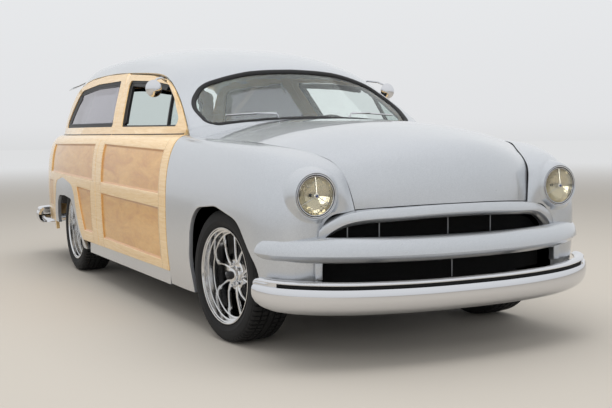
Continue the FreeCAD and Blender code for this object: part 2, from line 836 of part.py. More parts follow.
def outside_fenders(shape):
    """What stands outside the fender skins, which run through the moulding's back."""
    inside = panel(fender_grid(), 60.0, fender_core)
    shape = shape.cut(inside).cut(mirrored(inside))
    solids = sorted(shape.Solids, key=lambda solid: solid.Volume)
    return solids[-1]


post_y = 658.0


def grille_bar():
    bar = swept_bar(both_ways(bar_half), bar_section)
    bar = outside_fenders(bar)
    post = front_prism(((post_y - 28, 372, 6), (post_y + 24, 372, 6), (post_y + 30, 470, 0),
                        (post_y - 24, 470, 0)), 630, 690)
    post = post.cut(panel(fender_grid(), 60.0, fender_core))
    post = max(post.Solids, key=lambda solid: solid.Volume)
    return fused([bar, post, mirrored(post)])


insert_line = ((770, 0), (760, 190), (728, 370), (672, 520))
insert_bottom_z = 346.0
insert_top_z = 628.0
insert_rods_z = (380.0, 590.0)
bay_nose_ahead = 452.0


def grille_insert():
    """Upright blades on two rods, behind the floating bar."""
    pieces = []
    for ahead, y in insert_line:
        for side in ((1.0, -1.0) if y else (1.0,)):
            pieces.append(block(ahead - 40, ahead, side * y - 3, side * y + 3,
                                insert_bottom_z, insert_top_z - 0.06 * y))
    for z in insert_rods_z:
        points = [V(ax(a - 24), y, z) for a, y in insert_line]
        for start, end in zip(points, points[1:]):
            rod = Part.makeCylinder(5.0, (end - start).Length, start, end - start)
            pieces += [rod, mirrored(rod), Part.makeSphere(5.0, end), Part.makeSphere(5.0, V(end.x, -end.y, z))]
    ahead, y = insert_line[1]
    start = bay_nose_ahead + seam_gap
    stay = Part.makeCylinder(5.0, ahead - 20 - start, V(ax(start), y, insert_rods_z[1]), V(1, 0, 0))
    return fused(pieces + [stay, mirrored(stay)])


# Frame, floor and bay
rail_in = 360.0
rail_out = 420.0
rail_outline = (
    (680, 268, 0), (680, 345, 0), (240, 345, 40), (120, 330, 60), (-420, 249.7, 80), (-2330, 249.7, 60),
    (-2560, 470, 60), (-3250, 470, 60), (-3420, 440, 60), (-4110, 440, 0), (-4110, 372, 0), (-3400, 372, 60),
    (-3250, 402, 60), (-2600, 402, 60), (-2380, 180, 60), (-420, 180, 80), (160, 270, 60),
)
crossmembers = ((470, 290, 340), (-1000, 186, 243), (-1900, 186, 243), (-2650, 408, 464), (-4080, 378, 434))
front_floor_z = 250.0
load_floor_z = 480.0
floor_sheet = 12.0
tunnel_half = 160.0
tunnel_top = 470.0
step_ahead = -2240.0
wheelhouse_radius = 362.0
wheelhouse_inner_y = 588.0


spring_front_ahead = 606.0 - wheelbase
spring_rear_ahead = -624.0 - wheelbase
spring_width = 52.0


def bumper_arm(bumper, ahead_low, ahead_high, z_low, z_high):
    """A flat bracket that ends on the back of the bumper."""
    arm = block(ahead_low, ahead_high, rail_in + 8, rail_out - 8, z_low, z_high)
    return max(arm.cut(bumper).Solids, key=lambda solid: solid.Volume)


def ladder_frame(front_bar, rear_bar):
    rail = side_prism(rail_outline, rail_in, rail_out)
    hangers = [block(spring_front_ahead + seam_gap, spring_front_ahead + 40, rail_out - 1, rail_out + spring_width,
                     200, 350),
               block(spring_rear_ahead - 40, spring_rear_ahead - seam_gap, rail_out - 1, rail_out + spring_width,
                     335, 430)]
    arms = [bumper_arm(front_bar, 640, 885, 278, 332), bumper_arm(rear_bar, -4300, -4080, 300, 334),
            block(-4110, -4080, rail_in + 8, rail_out - 8, 300, 380)]
    pieces = []
    for piece in [rail] + hangers + arms:
        pieces += [piece, mirrored(piece)]
    for ahead, low, high in crossmembers:
        pieces.append(block(ahead - 35, ahead + 35, -rail_in - 5, rail_in + 5, low, high))
    return fused(pieces)


floor_rear_ahead = -4160.0
axle_ahead = -wheelbase


def side_trimmer():
    """Everything from just inside the quarter's inner face outwards."""
    return panel(flank_grid(2, 11), quarter_wall + seat_gap + 60.0, body_core, start=-60.0)


def wheelhouse():
    outer = tube_y(axle_ahead, tyre_radius, wheelhouse_radius + floor_sheet, wheelhouse_inner_y - floor_sheet, 880)
    inner = tube_y(axle_ahead, tyre_radius, wheelhouse_radius, wheelhouse_inner_y, 900)
    keep = block(axle_ahead - 500, axle_ahead + 500, 500, 900, load_floor_z, 900)
    return outer.cut(inner).common(keep)


load_deck_rear = -3960.0
load_deck_front = -2900.0
load_deck_half = 500.0
load_deck_thick = 4.0


def floor_pan():
    half = rocker_inner_y - seam_gap
    front = block(step_ahead + 2, -548, -half, half, front_floor_z, front_floor_z + floor_sheet)
    front = front.cut(block(step_ahead - 50, -500, -tunnel_half, tunnel_half, 200, 300))
    tunnel = block(step_ahead + 2, -548, -tunnel_half - 10, tunnel_half + 10, front_floor_z, tunnel_top + 10)
    tunnel = tunnel.cut(block(step_ahead - 50, -500, -tunnel_half, tunnel_half, 200, tunnel_top))
    step = block(step_ahead, step_ahead + floor_sheet, -half, half, front_floor_z, load_floor_z + floor_sheet)
    step = step.cut(block(step_ahead - 50, -500, -tunnel_half, tunnel_half, 200, tunnel_top))
    load = block(floor_rear_ahead, step_ahead + 2, -870, 870, load_floor_z, load_floor_z + floor_sheet)
    house = wheelhouse()
    sill = panel(tail_grid(tailgate_rows), 12.0, tail_core, start=tailgate_wall + seat_gap)
    sill = sill.common(block(-4300, -3900, -540, 540, load_floor_z, load_floor_z + 40))
    hole = tube_y(axle_ahead, tyre_radius, wheelhouse_radius, wheelhouse_inner_y, 900)
    floor = fused([load.cut(hole).cut(mirrored(hole)), house, mirrored(house)])
    trimmer = side_trimmer()
    floor = floor.cut(trimmer).cut(mirrored(trimmer))
    gate = panel(tail_grid(tailgate_rows), tailgate_wall + moving_gap + 60.0, tail_core, start=-60.0)
    floor = floor.cut(gate)
    floor = max(floor.Solids, key=lambda solid: solid.Volume)
    load_top_z = load_floor_z + floor_sheet
    deck = block(load_deck_rear, load_deck_front, -load_deck_half, load_deck_half, load_top_z - 1,
                 load_top_z + load_deck_thick)
    return fused([front, tunnel, step, floor, sill, deck])


firewall_ahead = -534.0


bay_bottom_z = 345.3
dash_front_ahead = -648.0


def engine_bay():
    """Firewall, cowl, and the aprons that close the bay off from the wheels."""
    wall = block(firewall_ahead - 12, firewall_ahead, -684, 684, front_floor_z + floor_sheet + seam_gap, 938)
    wall = wall.cut(block(-600, -500, -tunnel_half, tunnel_half, 200, tunnel_top))
    shelf = block(dash_front_ahead + seam_gap, firewall_ahead, -684, 684, 926, 938)
    over = panel(roof_grid(roof_rows[:4]), roof_wall + seat_gap + 200.0, roof_core, start=-200.0)
    cowl = block(dash_front_ahead + seam_gap, -628, -600, 600, 930, 1100).cut(over)
    apron = block(firewall_ahead - 4, bay_nose_ahead, 424, 434, bay_bottom_z, 900)
    apron = apron.cut(block(-110, 110, 400, 500, 300, 470))
    ledge = block(firewall_ahead - 4, 160, 424, 716, 888, 912)
    perch = panel(fender_grid(), 60.0, fender_core, start=skin + seat_gap)
    perch = perch.common(block(-520, 160, 701, 716, 890, 1000))
    buffer = panel(hood_grid(), 110.0, V(ax(100.0), 300.0, 500.0), start=skin + seat_gap)
    buffer = buffer.common(block(-20, 20, 600, 640, 890, 1100))
    nose = block(bay_nose_ahead - 12, bay_nose_ahead, -434, 434, bay_bottom_z, 640)
    pieces = [wall, shelf, cowl, nose]
    for piece in (apron, ledge, perch, buffer):
        pieces += [piece, mirrored(piece)]
    return fused(pieces)


def radiator():
    return block(380, bay_nose_ahead - 12 - seam_gap, -330, 330, 352, 800)


def engine_block():
    engine = front_prism(((-250, 500, 0), (-140, 352, 30), (140, 352, 30), (250, 500, 0), (250, 760, 40),
                          (120, 860, 60), (-120, 860, 60), (-250, 760, 40)), -400, 280)
    gearbox = Part.makeCone(140, 105, 620, V(ax(-400), 0, 400), V(-1, 0, 0))
    mount = front_prism(((200, 480, 0), (200, 400, 0), (rail_in - seam_gap, 290, 0),
                         (rail_in - seam_gap, 330, 0)), -90, -30)
    return fused([engine, gearbox.common(block(-1100, -380, -150, 150, 262, 462)), mount, mirrored(mount)])


def exhaust():
    line = ((-360, 305, 560), (-410, 390, 340), (-450, 455, 290), (-520, 480, 222), (-2220, 480, 222))
    pieces = [block(-380, 180, 250 + seam_gap, 340, 525, 595)]
    points = [V(ax(a), y, z) for a, y, z in line]
    for start, end in zip(points, points[1:]):
        pieces.append(Part.makeCylinder(22.0, (end - start).Length, start, end - start))
        pieces.append(Part.makeSphere(22.0, end))
    pieces.append(block(-1850, -1330, 436, 546, 196, 248))
    return fused(pieces)


def fuel_tank():
    half = rail_in - seam_gap
    front = axle_ahead - 564.0
    rear = front - 500.0
    return side_prism(((front, 270, 30), (rear, 270, 60), (rear, 396, 20), (front, 396, 20)), -half, half)


# Running gear
hub_radius = 62.0
spoke_count = 10
drum_radius = 135.0
drum_inner_y = 690.0
drum_outer_y = 714.0
spindle_end_y = 806.0
arm_eye_radius = 24.0
lower_arm_z = 205.0
upper_arm_z = 430.0
arm_sheet = 16.0


def turned(profile, wheel_y):
    """A (y from the wheel plane, radius) profile spun about the wheel's axle."""
    points = [V(0, wheel_y + y, radius) for y, radius in profile]
    points.append(points[0])
    face = Part.Face(Part.makePolygon(points))
    return face.revolve(V(0, 0, 0), V(0, 1, 0), 360)


def tyre():
    inner = rim_half_width - 9.3
    half = tyre_half_width
    seat = bead_seat_radius + seam_gap
    shoulder = rim_lip_radius + 2
    lower = [V(0, -inner, shoulder), V(0, -half, bead_seat_radius + 52), V(0, -half + 9, tyre_radius - 17)]
    edge = [V(0, -half + 9, tyre_radius - 17), V(0, -half + 17, tyre_radius - 7), V(0, -half + 32, tyre_radius - 3)]
    crown = [edge[2], V(0, 0, tyre_radius), V(0, half - 32, tyre_radius - 3)]
    edges = [Part.Arc(*lower).toShape(), Part.Arc(*edge).toShape(), Part.Arc(*crown).toShape()]
    edges.append(Part.Arc(*[V(0, -p.y, p.z) for p in reversed(edge)]).toShape())
    edges.append(Part.Arc(*[V(0, -p.y, p.z) for p in reversed(lower)]).toShape())
    corners = [V(0, inner, shoulder), V(0, inner, seat), V(0, -inner, seat), V(0, -inner, shoulder)]
    edges += [Part.makeLine(a, b) for a, b in zip(corners, corners[1:])]
    ring = Part.Face(Part.Wire(edges)).revolve(V(0, 0, 0), V(0, 1, 0), 360)
    return ring


def rim():
    half = rim_half_width
    lip = rim_lip_radius
    seat = bead_seat_radius
    drop = barrel_radius
    wall = barrel_wall
    outer = [(half, lip), (half - 8, lip), (half - 9, seat), (half - 36, seat), (half - 48, drop),
             (-half + 48, drop), (-half + 36, seat), (-half + 9, seat), (-half + 8, lip), (-half, lip)]
    inner = [(-half, seat - wall + 4), (-half + 34, seat - wall), (-half + 45, drop - wall),
             (half - 45, drop - wall), (half - 34, seat - wall), (half, seat - wall + 4)]
    barrel = turned(outer + inner, 0.0)
    dish = turned([(2, hub_radius), (2, drop - 2), (16, drop - 2), (20, hub_radius)], 0.0)
    hub = Part.makeCylinder(hub_radius + 2, 68, V(0, -8, 0), V(0, 1, 0))
    windows = []
    width = math.pi * 2.0 / spoke_count
    for i in range(spoke_count):
        middle = (i + 0.5) * width
        reach = drop - 14
        near = hub_radius + 14
        spread_far = width * 0.34
        spread_near = width * 0.22
        corners = []
        for radius, angle in ((near, middle - spread_near), (reach, middle - spread_far),
                              (reach, middle + spread_far), (near, middle + spread_near)):
            corners.append((radius * math.cos(angle), radius * math.sin(angle), 8))
        wire = outline_wire(corners, lambda a, b: V(a, -20, b))
        windows.append(Part.Face(wire).extrude(V(0, 60, 0)))
    dish = dish.cut(windows[0].multiFuse(windows[1:]))
    bore = Part.makeCylinder(spindle_radius + running_clearance, 200, V(0, -60, 0), V(0, 1, 0))
    whole = fused([barrel, dish, hub])
    return whole.cut(bore)


def at_wheel(shape, ahead, side, steer):
    """Put a left-hand wheel piece, built on the origin, at one of the corners."""
    piece = shape.copy()
    piece.translate(V(ax(ahead), wheel_plane_y, tyre_radius))
    if side < 0:
        piece = mirrored(piece)
    if steer:
        piece.rotate(V(ax(ahead), side * kingpin_y, 0), V(0, 0, 1), steer)
    return piece


def knuckle():
    """Kingpin, drum and spindle, drawn for the left with the wheel straight."""
    upright = Part.makeCylinder(27, upper_arm_z - lower_arm_z - arm_sheet - 1.0,
                                V(ax(0), kingpin_y, lower_arm_z + arm_sheet + 0.5), V(0, 0, 1))
    pin = Part.makeCylinder(kingpin_radius, upper_arm_z - lower_arm_z + arm_sheet + 12,
                            V(ax(0), kingpin_y, lower_arm_z - 6), V(0, 0, 1))
    drum = tube_y(0, tyre_radius, drum_radius, drum_inner_y, drum_outer_y)
    spindle = tube_y(0, tyre_radius, spindle_radius, kingpin_y, spindle_end_y)
    return fused([upright, pin, drum, spindle])


def front_suspension():
    half = rail_in - seam_gap
    cross = block(-70, 70, -half, half, 225, 290)
    pieces = [block(-45, 45, rail_out + seam_gap, rail_out + 32, 200, upper_arm_z + arm_sheet)]
    for z in (lower_arm_z, upper_arm_z):
        pieces.append(plan_prism(((-90, rail_out + 10, 0), (90, rail_out + 10, 0), (arm_eye_radius, kingpin_y, 0),
                                  (-arm_eye_radius, kingpin_y, 0)), z, z + arm_sheet))
        pieces.append(Part.makeCylinder(arm_eye_radius, arm_sheet, V(ax(0), kingpin_y, z), V(0, 0, 1)))
    arms = fused(pieces)
    arms = arms.cut(Part.makeCylinder(kingpin_radius + running_clearance, 400, V(ax(0), kingpin_y, 150),
                                      V(0, 0, 1)))
    return Part.makeCompound([cross, arms, mirrored(arms)])


def rear_axle():
    pieces = [tube_y(axle_ahead, tyre_radius, 40, -drum_inner_y, drum_inner_y)]
    for side in (1, -1):
        low, high = sorted((side * drum_inner_y, side * drum_outer_y))
        pieces.append(tube_y(axle_ahead, tyre_radius, drum_radius, low, high))
        low, high = sorted((side * (drum_inner_y - 20), side * spindle_end_y))
        pieces.append(tube_y(axle_ahead, tyre_radius, spindle_radius, low, high))
    pieces.append(Part.makeSphere(118, V(ax(axle_ahead), 0, tyre_radius)))
    start = V(ax(-1022), 0, 380)
    end = V(ax(axle_ahead + 60), 0, tyre_radius + 6)
    pieces.append(Part.makeCylinder(36, (end - start).Length, start, end - start))
    front = axle_ahead + 296.0
    rear = axle_ahead - 304.0
    spring = side_prism(((spring_front_ahead, 330, 0), (front, 284, 200), (axle_ahead, 272, 200), (rear, 284, 200),
                         (spring_rear_ahead, 340, 0), (spring_rear_ahead, 356, 0), (rear, 300, 200),
                         (axle_ahead, 290, 200), (front, 300, 200), (spring_front_ahead, 346, 0)),
                        rail_out + 1, rail_out + spring_width)
    pieces += [spring, mirrored(spring)]
    return fused(pieces)


# Cabin
column_tilt = math.radians(24.0)
steering_wheel_ahead = -1130.0
steering_wheel_y = 355.0
steering_wheel_z = 905.0
steering_wheel_radius = 205.0
boss_depth = 14.0


def column_axis():
    return V(-math.cos(column_tilt), 0, math.sin(column_tilt))


def dashboard():
    front = dash_front_ahead
    panel_block = side_prism(((front, 800, 0), (front, 985, 0), (-760, 992, 40), (-845, 960, 40), (-838, 800, 30)),
                             -668, 668)
    hub = V(ax(steering_wheel_ahead), steering_wheel_y, steering_wheel_z)
    axis = column_axis()
    column = Part.makeCylinder(24, 620 - boss_depth - seam_gap, hub - axis * 620, axis)
    column = column.common(block(-1200, firewall_ahead - 12 - seam_gap, 0, 700, 270, 1200))
    hanger = block(-810, -770, steering_wheel_y - 16, steering_wheel_y + 16, 760, 830)
    return fused([panel_block, column, hanger])


def steering_wheel():
    hub = V(ax(steering_wheel_ahead), steering_wheel_y, steering_wheel_z)
    axis = column_axis()
    ring = Part.makeTorus(steering_wheel_radius, 12, hub + axis * 30, axis)
    boss = Part.makeCylinder(32, 30 + boss_depth, hub - axis * boss_depth, axis)
    spoke = Part.makeCylinder(9, steering_wheel_radius * 2, hub + axis * 22 - V(0, steering_wheel_radius, 0),
                              V(0, 1, 0))
    spoke = spoke.common(Part.makeCylinder(steering_wheel_radius, 60, hub, axis))
    return fused([ring, boss, spoke])


def seat(front, rear, base_z, cushion_z, back_z, half_width):
    cushion = side_prism(((front, base_z, 30), (front - 10, cushion_z, 60), (rear + 60, cushion_z - 30, 0),
                          (rear + 60, base_z, 0)), -half_width, half_width)
    back = side_prism(((rear + 100, base_z, 0), (rear + 90, cushion_z - 20, 0), (rear, back_z, 50),
                       (rear - 110, back_z - 4, 50), (rear - 60, base_z, 20)), -half_width, half_width)
    clear = tunnel_half + 10 + seam_gap
    hump = block(-2400, -400, -clear, clear, 100, tunnel_top + 10 + seam_gap)
    return fused([cushion, back]).cut(hump)


# Trim that shows

def roof_point(row, share, lift):
    """A point on the roof pressing between table rows, lifted off it."""
    low = int(row)
    part = row - low
    cx, cz, ex, ey, ez = [a + (b - a) * part for a, b in zip(roof_rows[low], roof_rows[low + 1])]
    reach = abs(share)
    point = V(ax(cx + (ex - cx) * reach ** 3.0), ey * share, ez + (cz - ez) * (1.0 - reach ** 2.6) ** 0.55)
    return point + V(math.sin(screen_rake), 0.0, math.cos(screen_rake)) * lift


def round_bar(points, radius):
    """A thin eight-sided rod through the points."""
    wires = []
    for i, point in enumerate(points):
        along = points[min(i + 1, len(points) - 1)] - points[max(i - 1, 0)]
        along.normalize()
        across = along.cross(V(0, 0, 1))
        across.normalize()
        up = across.cross(along)
        ring = []
        for k in range(8):
            angle = math.radians(22.5 + 45.0 * k)
            ring.append(point + across * (radius * math.cos(angle)) + up * (radius * math.sin(angle)))
        wires.append(Part.makePolygon(ring + [ring[0]]))
    return Part.makeLoft(wires, True, True)


def wiper():
    pivot = roof_point(0.12, 0.30, 4.0)
    foot = V(pivot.x, pivot.y, pivot.z)
    arm = round_bar([foot, roof_point(0.25, 0.32, 26.0), roof_point(0.33, 0.50, 24.0)], 5.0)
    blade = round_bar([roof_point(0.36, 0.34, 17.0), roof_point(0.34, 0.50, 20.0), roof_point(0.33, 0.72, 18.0)],
                      5.0)
    whole = fused([arm, blade]).cut(panel(roof_grid(), roof_wall, roof_core, start=-seam_gap))
    return max(whole.Solids, key=lambda solid: solid.Volume)


mirror_ahead = -1105.0
mirror_y = 790.0
mirror_z = 1271.0
mirror_radius = 50.0
mirror_depth = 36.0


def mirror():
    dome_radius = (mirror_radius ** 2 + mirror_depth ** 2) / (2 * mirror_depth)
    dome = Part.makeSphere(dome_radius, V(mirror_depth - dome_radius, 0, 0), V(1, 0, 0))
    dome = dome.common(Part.makeBox(60, 120, 120, V(0, -60, -60)))
    head = fused([dome, Part.makeCone(mirror_radius - 3, mirror_radius, 6, V(-6, 0, 0), V(1, 0, 0))])
    head.translate(V(ax(mirror_ahead), mirror_y, mirror_z))
    arm = round_bar([V(ax(-1262), 654, 1318), V(ax(-1215), 706, 1340), V(ax(-1160), 752, 1330),
                     V(ax(-1112), 782, 1305), V(ax(mirror_ahead + 4), mirror_y, mirror_z + 20)], 6.5)
    arm = arm.cut(panel(frame_grid(0, 6), frame_wall, body_core, start=-seam_gap))
    arm = max(arm.Solids, key=lambda solid: solid.Volume)
    return fused([head, arm])


def tail_lamp():
    out = V(-0.65, 0.76, 0)
    lamp = Part.makeCylinder(42, 54, V(ax(-4103), 696, 770) - out * 30, out)
    lamp = lamp.cut(panel(flank_grid(6, 11), 60.0, body_core, start=-seam_gap))
    return max(lamp.Solids, key=lambda solid: solid.CenterOfMass.y)


def rear_valance():
    sheet = panel(tail_grid(((340, -4140, -4114, 620), (380, -4160, -4134, 620), (418, -4176, -4150, 620))),
                  14.0, tail_core)
    half = tail_edge_y - seam_gap
    return sheet.common(block(-4400, -3900, -half, half, 300, 500))


parts = {}


def main():
    front_bar = swept_bar(both_ways(bumper_half), bumper_section)
    rear_bar = swept_bar(both_ways(rear_bumper_half), [(-d, h) for d, h in bumper_section])
    parts["front_bumper"] = front_bar
    parts["rear_bumper"] = rear_bar
    parts["ladder_frame"] = ladder_frame(front_bar, rear_bar)
    parts["floor_pan"] = floor_pan()
    parts["engine_bay"] = engine_bay()
    parts["radiator"] = radiator()
    parts["engine_block"] = engine_block()
    parts["exhaust"] = pair(exhaust())
    parts["fuel_tank"] = fuel_tank()
    parts["front_suspension"] = front_suspension()
    parts["rear_axle"] = rear_axle()
    parts["dashboard"] = dashboard()
    parts["steering_wheel"] = steering_wheel()
    parts["front_seat"] = seat(-1250, -1760, front_floor_z + floor_sheet + seam_gap, 520, 950, 690)
    parts["rear_seat"] = seat(-2262, -2680, load_floor_z + floor_sheet + seam_gap, 650, 1010, 570)
    left_knuckle = knuckle()
    for name, side in (("left", 1), ("right", -1)):
        piece = left_knuckle if side > 0 else mirrored(left_knuckle)
        piece = piece.copy()
        piece.rotate(V(ax(0), side * kingpin_y, 0), V(0, 0, 1), parked_steer)
        parts["knuckle_" + name] = piece
    one_rim = rim()
    one_tyre = tyre()
    for end, ahead, steer in (("front", 0.0, parked_steer), ("rear", -wheelbase, 0.0)):
        for name, side in (("left", 1), ("right", -1)):
            parts["rim_%s_%s" % (end, name)] = at_wheel(one_rim, ahead, side, steer)
            parts["tyre_%s_%s" % (end, name)] = at_wheel(one_tyre, ahead, side, steer)
    parts["grille_insert"] = grille_insert()
    parts["wipers"] = pair(wiper())
    parts["mirror_left"] = mirror()
    parts["mirror_right"] = mirrored(parts["mirror_left"])
    parts["rear_valance"] = rear_valance()
    parts["tail_lamps"] = pair(tail_lamp())
    parts["front_fender_left"] = front_fender()
    parts["front_fender_right"] = mirrored(parts["front_fender_left"])
    parts["headlamps"] = pair(headlamp())
    parts["hood"] = hood()
    parts["roof_shell"] = roof_shell()
    parts["rear_visor"] = rear_visor()
    parts["windshield"] = windshield()
    parts["door_left"] = door()
    parts["door_right"] = mirrored(parts["door_left"])
    parts["quarter_left"] = quarter()
    parts["quarter_right"] = mirrored(parts["quarter_left"])
    parts["rear_arches"] = pair(rear_arch())
    parts["rockers"] = pair(rocker())
    parts["quarter_glass"] = pair(window_pane(grown(quarter_window, seam_gap), 3, 10))
    vent = window_pane(vent_outline, 0, 4)
    vent = vent.common(side_prism(grown(door_window, seam_gap), tall_low, tall_high))
    parts["vent_glass_left"] = vent
    parts["vent_glass_right"] = mirrored(vent)
    parts["liftgate"] = liftgate()
    parts["liftgate_glass"] = liftgate_glass()
    parts["tailgate"] = tailgate()
    parts["grille_bar"] = grille_bar()
    surround = outside_fenders(grille_surround()).cut(parts["grille_bar"])
    parts["grille_surround"] = max(surround.Solids, key=lambda solid: solid.Volume)
    os.makedirs("parts", exist_ok=True)
    for name, shape in parts.items():
        shape.exportStep("parts/" + name + ".step")
        print(name, len(shape.Solids), shape.isValid(), round(shape.Volume / 1e6, 2))


main()
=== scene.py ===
import json
import math

import bmesh
import bpy
from mathutils import Matrix, Vector
from mathutils.bvhtree import BVHTree


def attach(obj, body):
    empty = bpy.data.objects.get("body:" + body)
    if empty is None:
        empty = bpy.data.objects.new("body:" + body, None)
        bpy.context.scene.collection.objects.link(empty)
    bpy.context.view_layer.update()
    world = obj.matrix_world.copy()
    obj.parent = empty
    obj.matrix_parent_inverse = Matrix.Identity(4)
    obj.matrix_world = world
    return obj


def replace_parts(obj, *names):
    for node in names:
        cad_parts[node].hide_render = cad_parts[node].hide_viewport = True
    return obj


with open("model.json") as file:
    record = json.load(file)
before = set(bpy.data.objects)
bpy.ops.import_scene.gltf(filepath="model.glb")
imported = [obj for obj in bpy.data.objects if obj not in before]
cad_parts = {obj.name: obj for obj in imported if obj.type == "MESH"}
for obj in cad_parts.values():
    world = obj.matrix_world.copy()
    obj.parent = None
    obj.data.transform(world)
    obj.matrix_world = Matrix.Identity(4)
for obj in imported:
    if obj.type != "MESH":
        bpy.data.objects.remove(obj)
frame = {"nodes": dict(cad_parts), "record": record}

# A customised wood-bodied station wagon. Metres, +X forward, +Y the car's left.
nodes = frame["nodes"]
record = frame["record"]
body_of_node = {}
for body_name, members in record["behaviour"]["bodies"].items():
    for member in members:
        body_of_node[member] = body_name
slot_of_node = {entry["node"]: entry["material_slot"] for entry in record["subparts"]}
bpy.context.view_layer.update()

front_axle_x = 1.7085
wheelbase = 2.896
wheel_plane_y = 0.730
tyre_radius = 0.3235
kingpin_y = 0.660
parked_steer = math.radians(6.0)

sides = ((1.0, "left"), (-1.0, "right"))
merge_within = 0.00002
glass_ior = 1.45
line_parts = 6


def ahead(distance):
    """x of a point so far ahead of the front axle."""
    return front_axle_x + distance


# Materials

def linear(hex_colour):
    """sRGB hex to a linear colour with alpha."""
    channels = []
    for i in (0, 2, 4):
        value = int(hex_colour[i:i + 2], 16) / 255.0
        channels.append(value / 12.92 if value <= 0.04045 else ((value + 0.055) / 1.055) ** 2.4)
    return (*channels, 1.0)


def add_node(tree, kind, sockets=None, **settings):
    """A node with its settings; sockets takes values, or outputs to link."""
    node = tree.nodes.new(kind)
    for name, value in settings.items():
        setattr(node, name, value)
    for name, value in (sockets or {}).items():
        if isinstance(value, bpy.types.NodeSocket):
            tree.links.new(value, node.inputs[name])
        else:
            node.inputs[name].default_value = value
    return node


def new_material(name, **settings):
    """A material whose one shader has these settings; returns it with its tree."""
    material = bpy.data.materials.new(name)
    material.use_nodes = True
    tree = material.node_tree
    shader = tree.nodes["Principled BSDF"]
    for key, value in settings.items():
        shader.inputs[key.replace("_", " ")].default_value = value
    return material, tree, shader


def ramp(tree, factor, stops):
    """A colour ramp; stops are (position, hex)."""
    node = add_node(tree, "ShaderNodeValToRGB", {"Fac": factor})
    elements = node.color_ramp.elements
    while len(elements) < len(stops):
        elements.new(0.5)
    for element, (position, colour) in zip(elements, stops):
        element.position = position
        element.color = linear(colour)
    return node.outputs["Color"]


def roughened(tree, shader, vector, scale, low, high, bump):
    """Fine unevenness in gloss, and in height where bump is above nothing."""
    noise = add_node(tree, "ShaderNodeTexNoise", {"Vector": vector, "Scale": scale, "Detail": 4.0})
    spread = add_node(tree, "ShaderNodeMapRange",
                      {"Value": noise.outputs["Fac"], "To Min": low, "To Max": high})
    tree.links.new(spread.outputs["Result"], shader.inputs["Roughness"])
    if bump > 0:
        height = add_node(tree, "ShaderNodeBump", {"Height": noise.outputs["Fac"], "Strength": bump,
                                                   "Distance": 0.001})
        tree.links.new(height.outputs["Normal"], shader.inputs["Normal"])


def metallic_paint(name, colour, dark):
    """Basecoat with fine aluminium flake under clear lacquer, polished."""
    material, tree, shader = new_material(name, Metallic=0.80, Coat_Weight=1.0, Coat_Roughness=0.03)
    place = add_node(tree, "ShaderNodeTexCoord").outputs["Object"]
    flake = add_node(tree, "ShaderNodeTexVoronoi", {"Vector": place, "Scale": 900.0})
    tint = ramp(tree, flake.outputs["Color"], ((0.0, dark), (1.0, colour)))
    tree.links.new(tint, shader.inputs["Base Color"])
    roughened(tree, shader, place, 40.0, 0.26, 0.32, 0.0)
    return material


def plain_finish(name, colour, metallic, low, high, scale, bump, **settings):
    """One colour with a fine unevenness of gloss; scale is bumps per metre."""
    material, tree, shader = new_material(name, Base_Color=linear(colour), Metallic=metallic, **settings)
    place = add_node(tree, "ShaderNodeTexCoord").outputs["Object"]
    roughened(tree, shader, place, scale, low, high, bump)
    return material


def wood_finish(name, light, middle, dark, grain):
    """Varnished maple or birch; grain is the stretch along X, Y and Z."""
    material, tree, shader = new_material(name, Coat_Weight=0.9, Coat_Roughness=0.06, Coat_IOR=1.5)
    place = add_node(tree, "ShaderNodeTexCoord").outputs["Object"]
    stretched = add_node(tree, "ShaderNodeMapping", {"Vector": place, "Scale": grain})
    figure = add_node(tree, "ShaderNodeTexNoise", {"Vector": stretched.outputs["Vector"], "Scale": 10.0,
                                                   "Detail": 5.0, "Roughness": 0.6, "Distortion": 1.2})
    pores = add_node(tree, "ShaderNodeTexNoise", {"Vector": stretched.outputs["Vector"], "Scale": 90.0,
                                                  "Detail": 3.0})
    broad = ramp(tree, figure.outputs["Fac"], ((0.30, dark), (0.5, middle), (0.72, light)))
    fine = add_node(tree, "ShaderNodeMapRange",
                    {"Value": pores.outputs["Fac"], "To Min": 0.84, "To Max": 1.1})
    mixed = add_node(tree, "ShaderNodeVectorMath", {0: broad, "Scale": fine.outputs["Result"]},
                     operation="SCALE")
    tree.links.new(mixed.outputs["Vector"], shader.inputs["Base Color"])
    roughened(tree, shader, stretched.outputs["Vector"], 60.0, 0.34, 0.48, 0.12)
    return material


def clear_glass(name, colour, roughness, clearness=1.0):
    """Flat safety glass: mirror-smooth, tinted by its colour, see-through to that share."""
    return new_material(name, Base_Color=linear(colour), Roughness=roughness, IOR=glass_ior,
                        Transmission_Weight=clearness)[0]


def fluted_glass(name, colour):
    """Clear pressed glass with fine upright flutes, which break the reflector up."""
    material, tree, shader = new_material(name, Base_Color=linear(colour), Roughness=0.0, IOR=glass_ior,
                                          Transmission_Weight=1.0)
    place = add_node(tree, "ShaderNodeTexCoord").outputs["Object"]
    flutes = add_node(tree, "ShaderNodeTexWave", {"Vector": place, "Scale": 22.0, "Distortion": 0.6},
                      bands_direction="Y", wave_profile="SIN")
    height = add_node(tree, "ShaderNodeBump",
                      {"Height": flutes.outputs["Fac"], "Strength": 0.35, "Distance": 0.002})
    tree.links.new(height.outputs["Normal"], shader.inputs["Normal"])
    return material


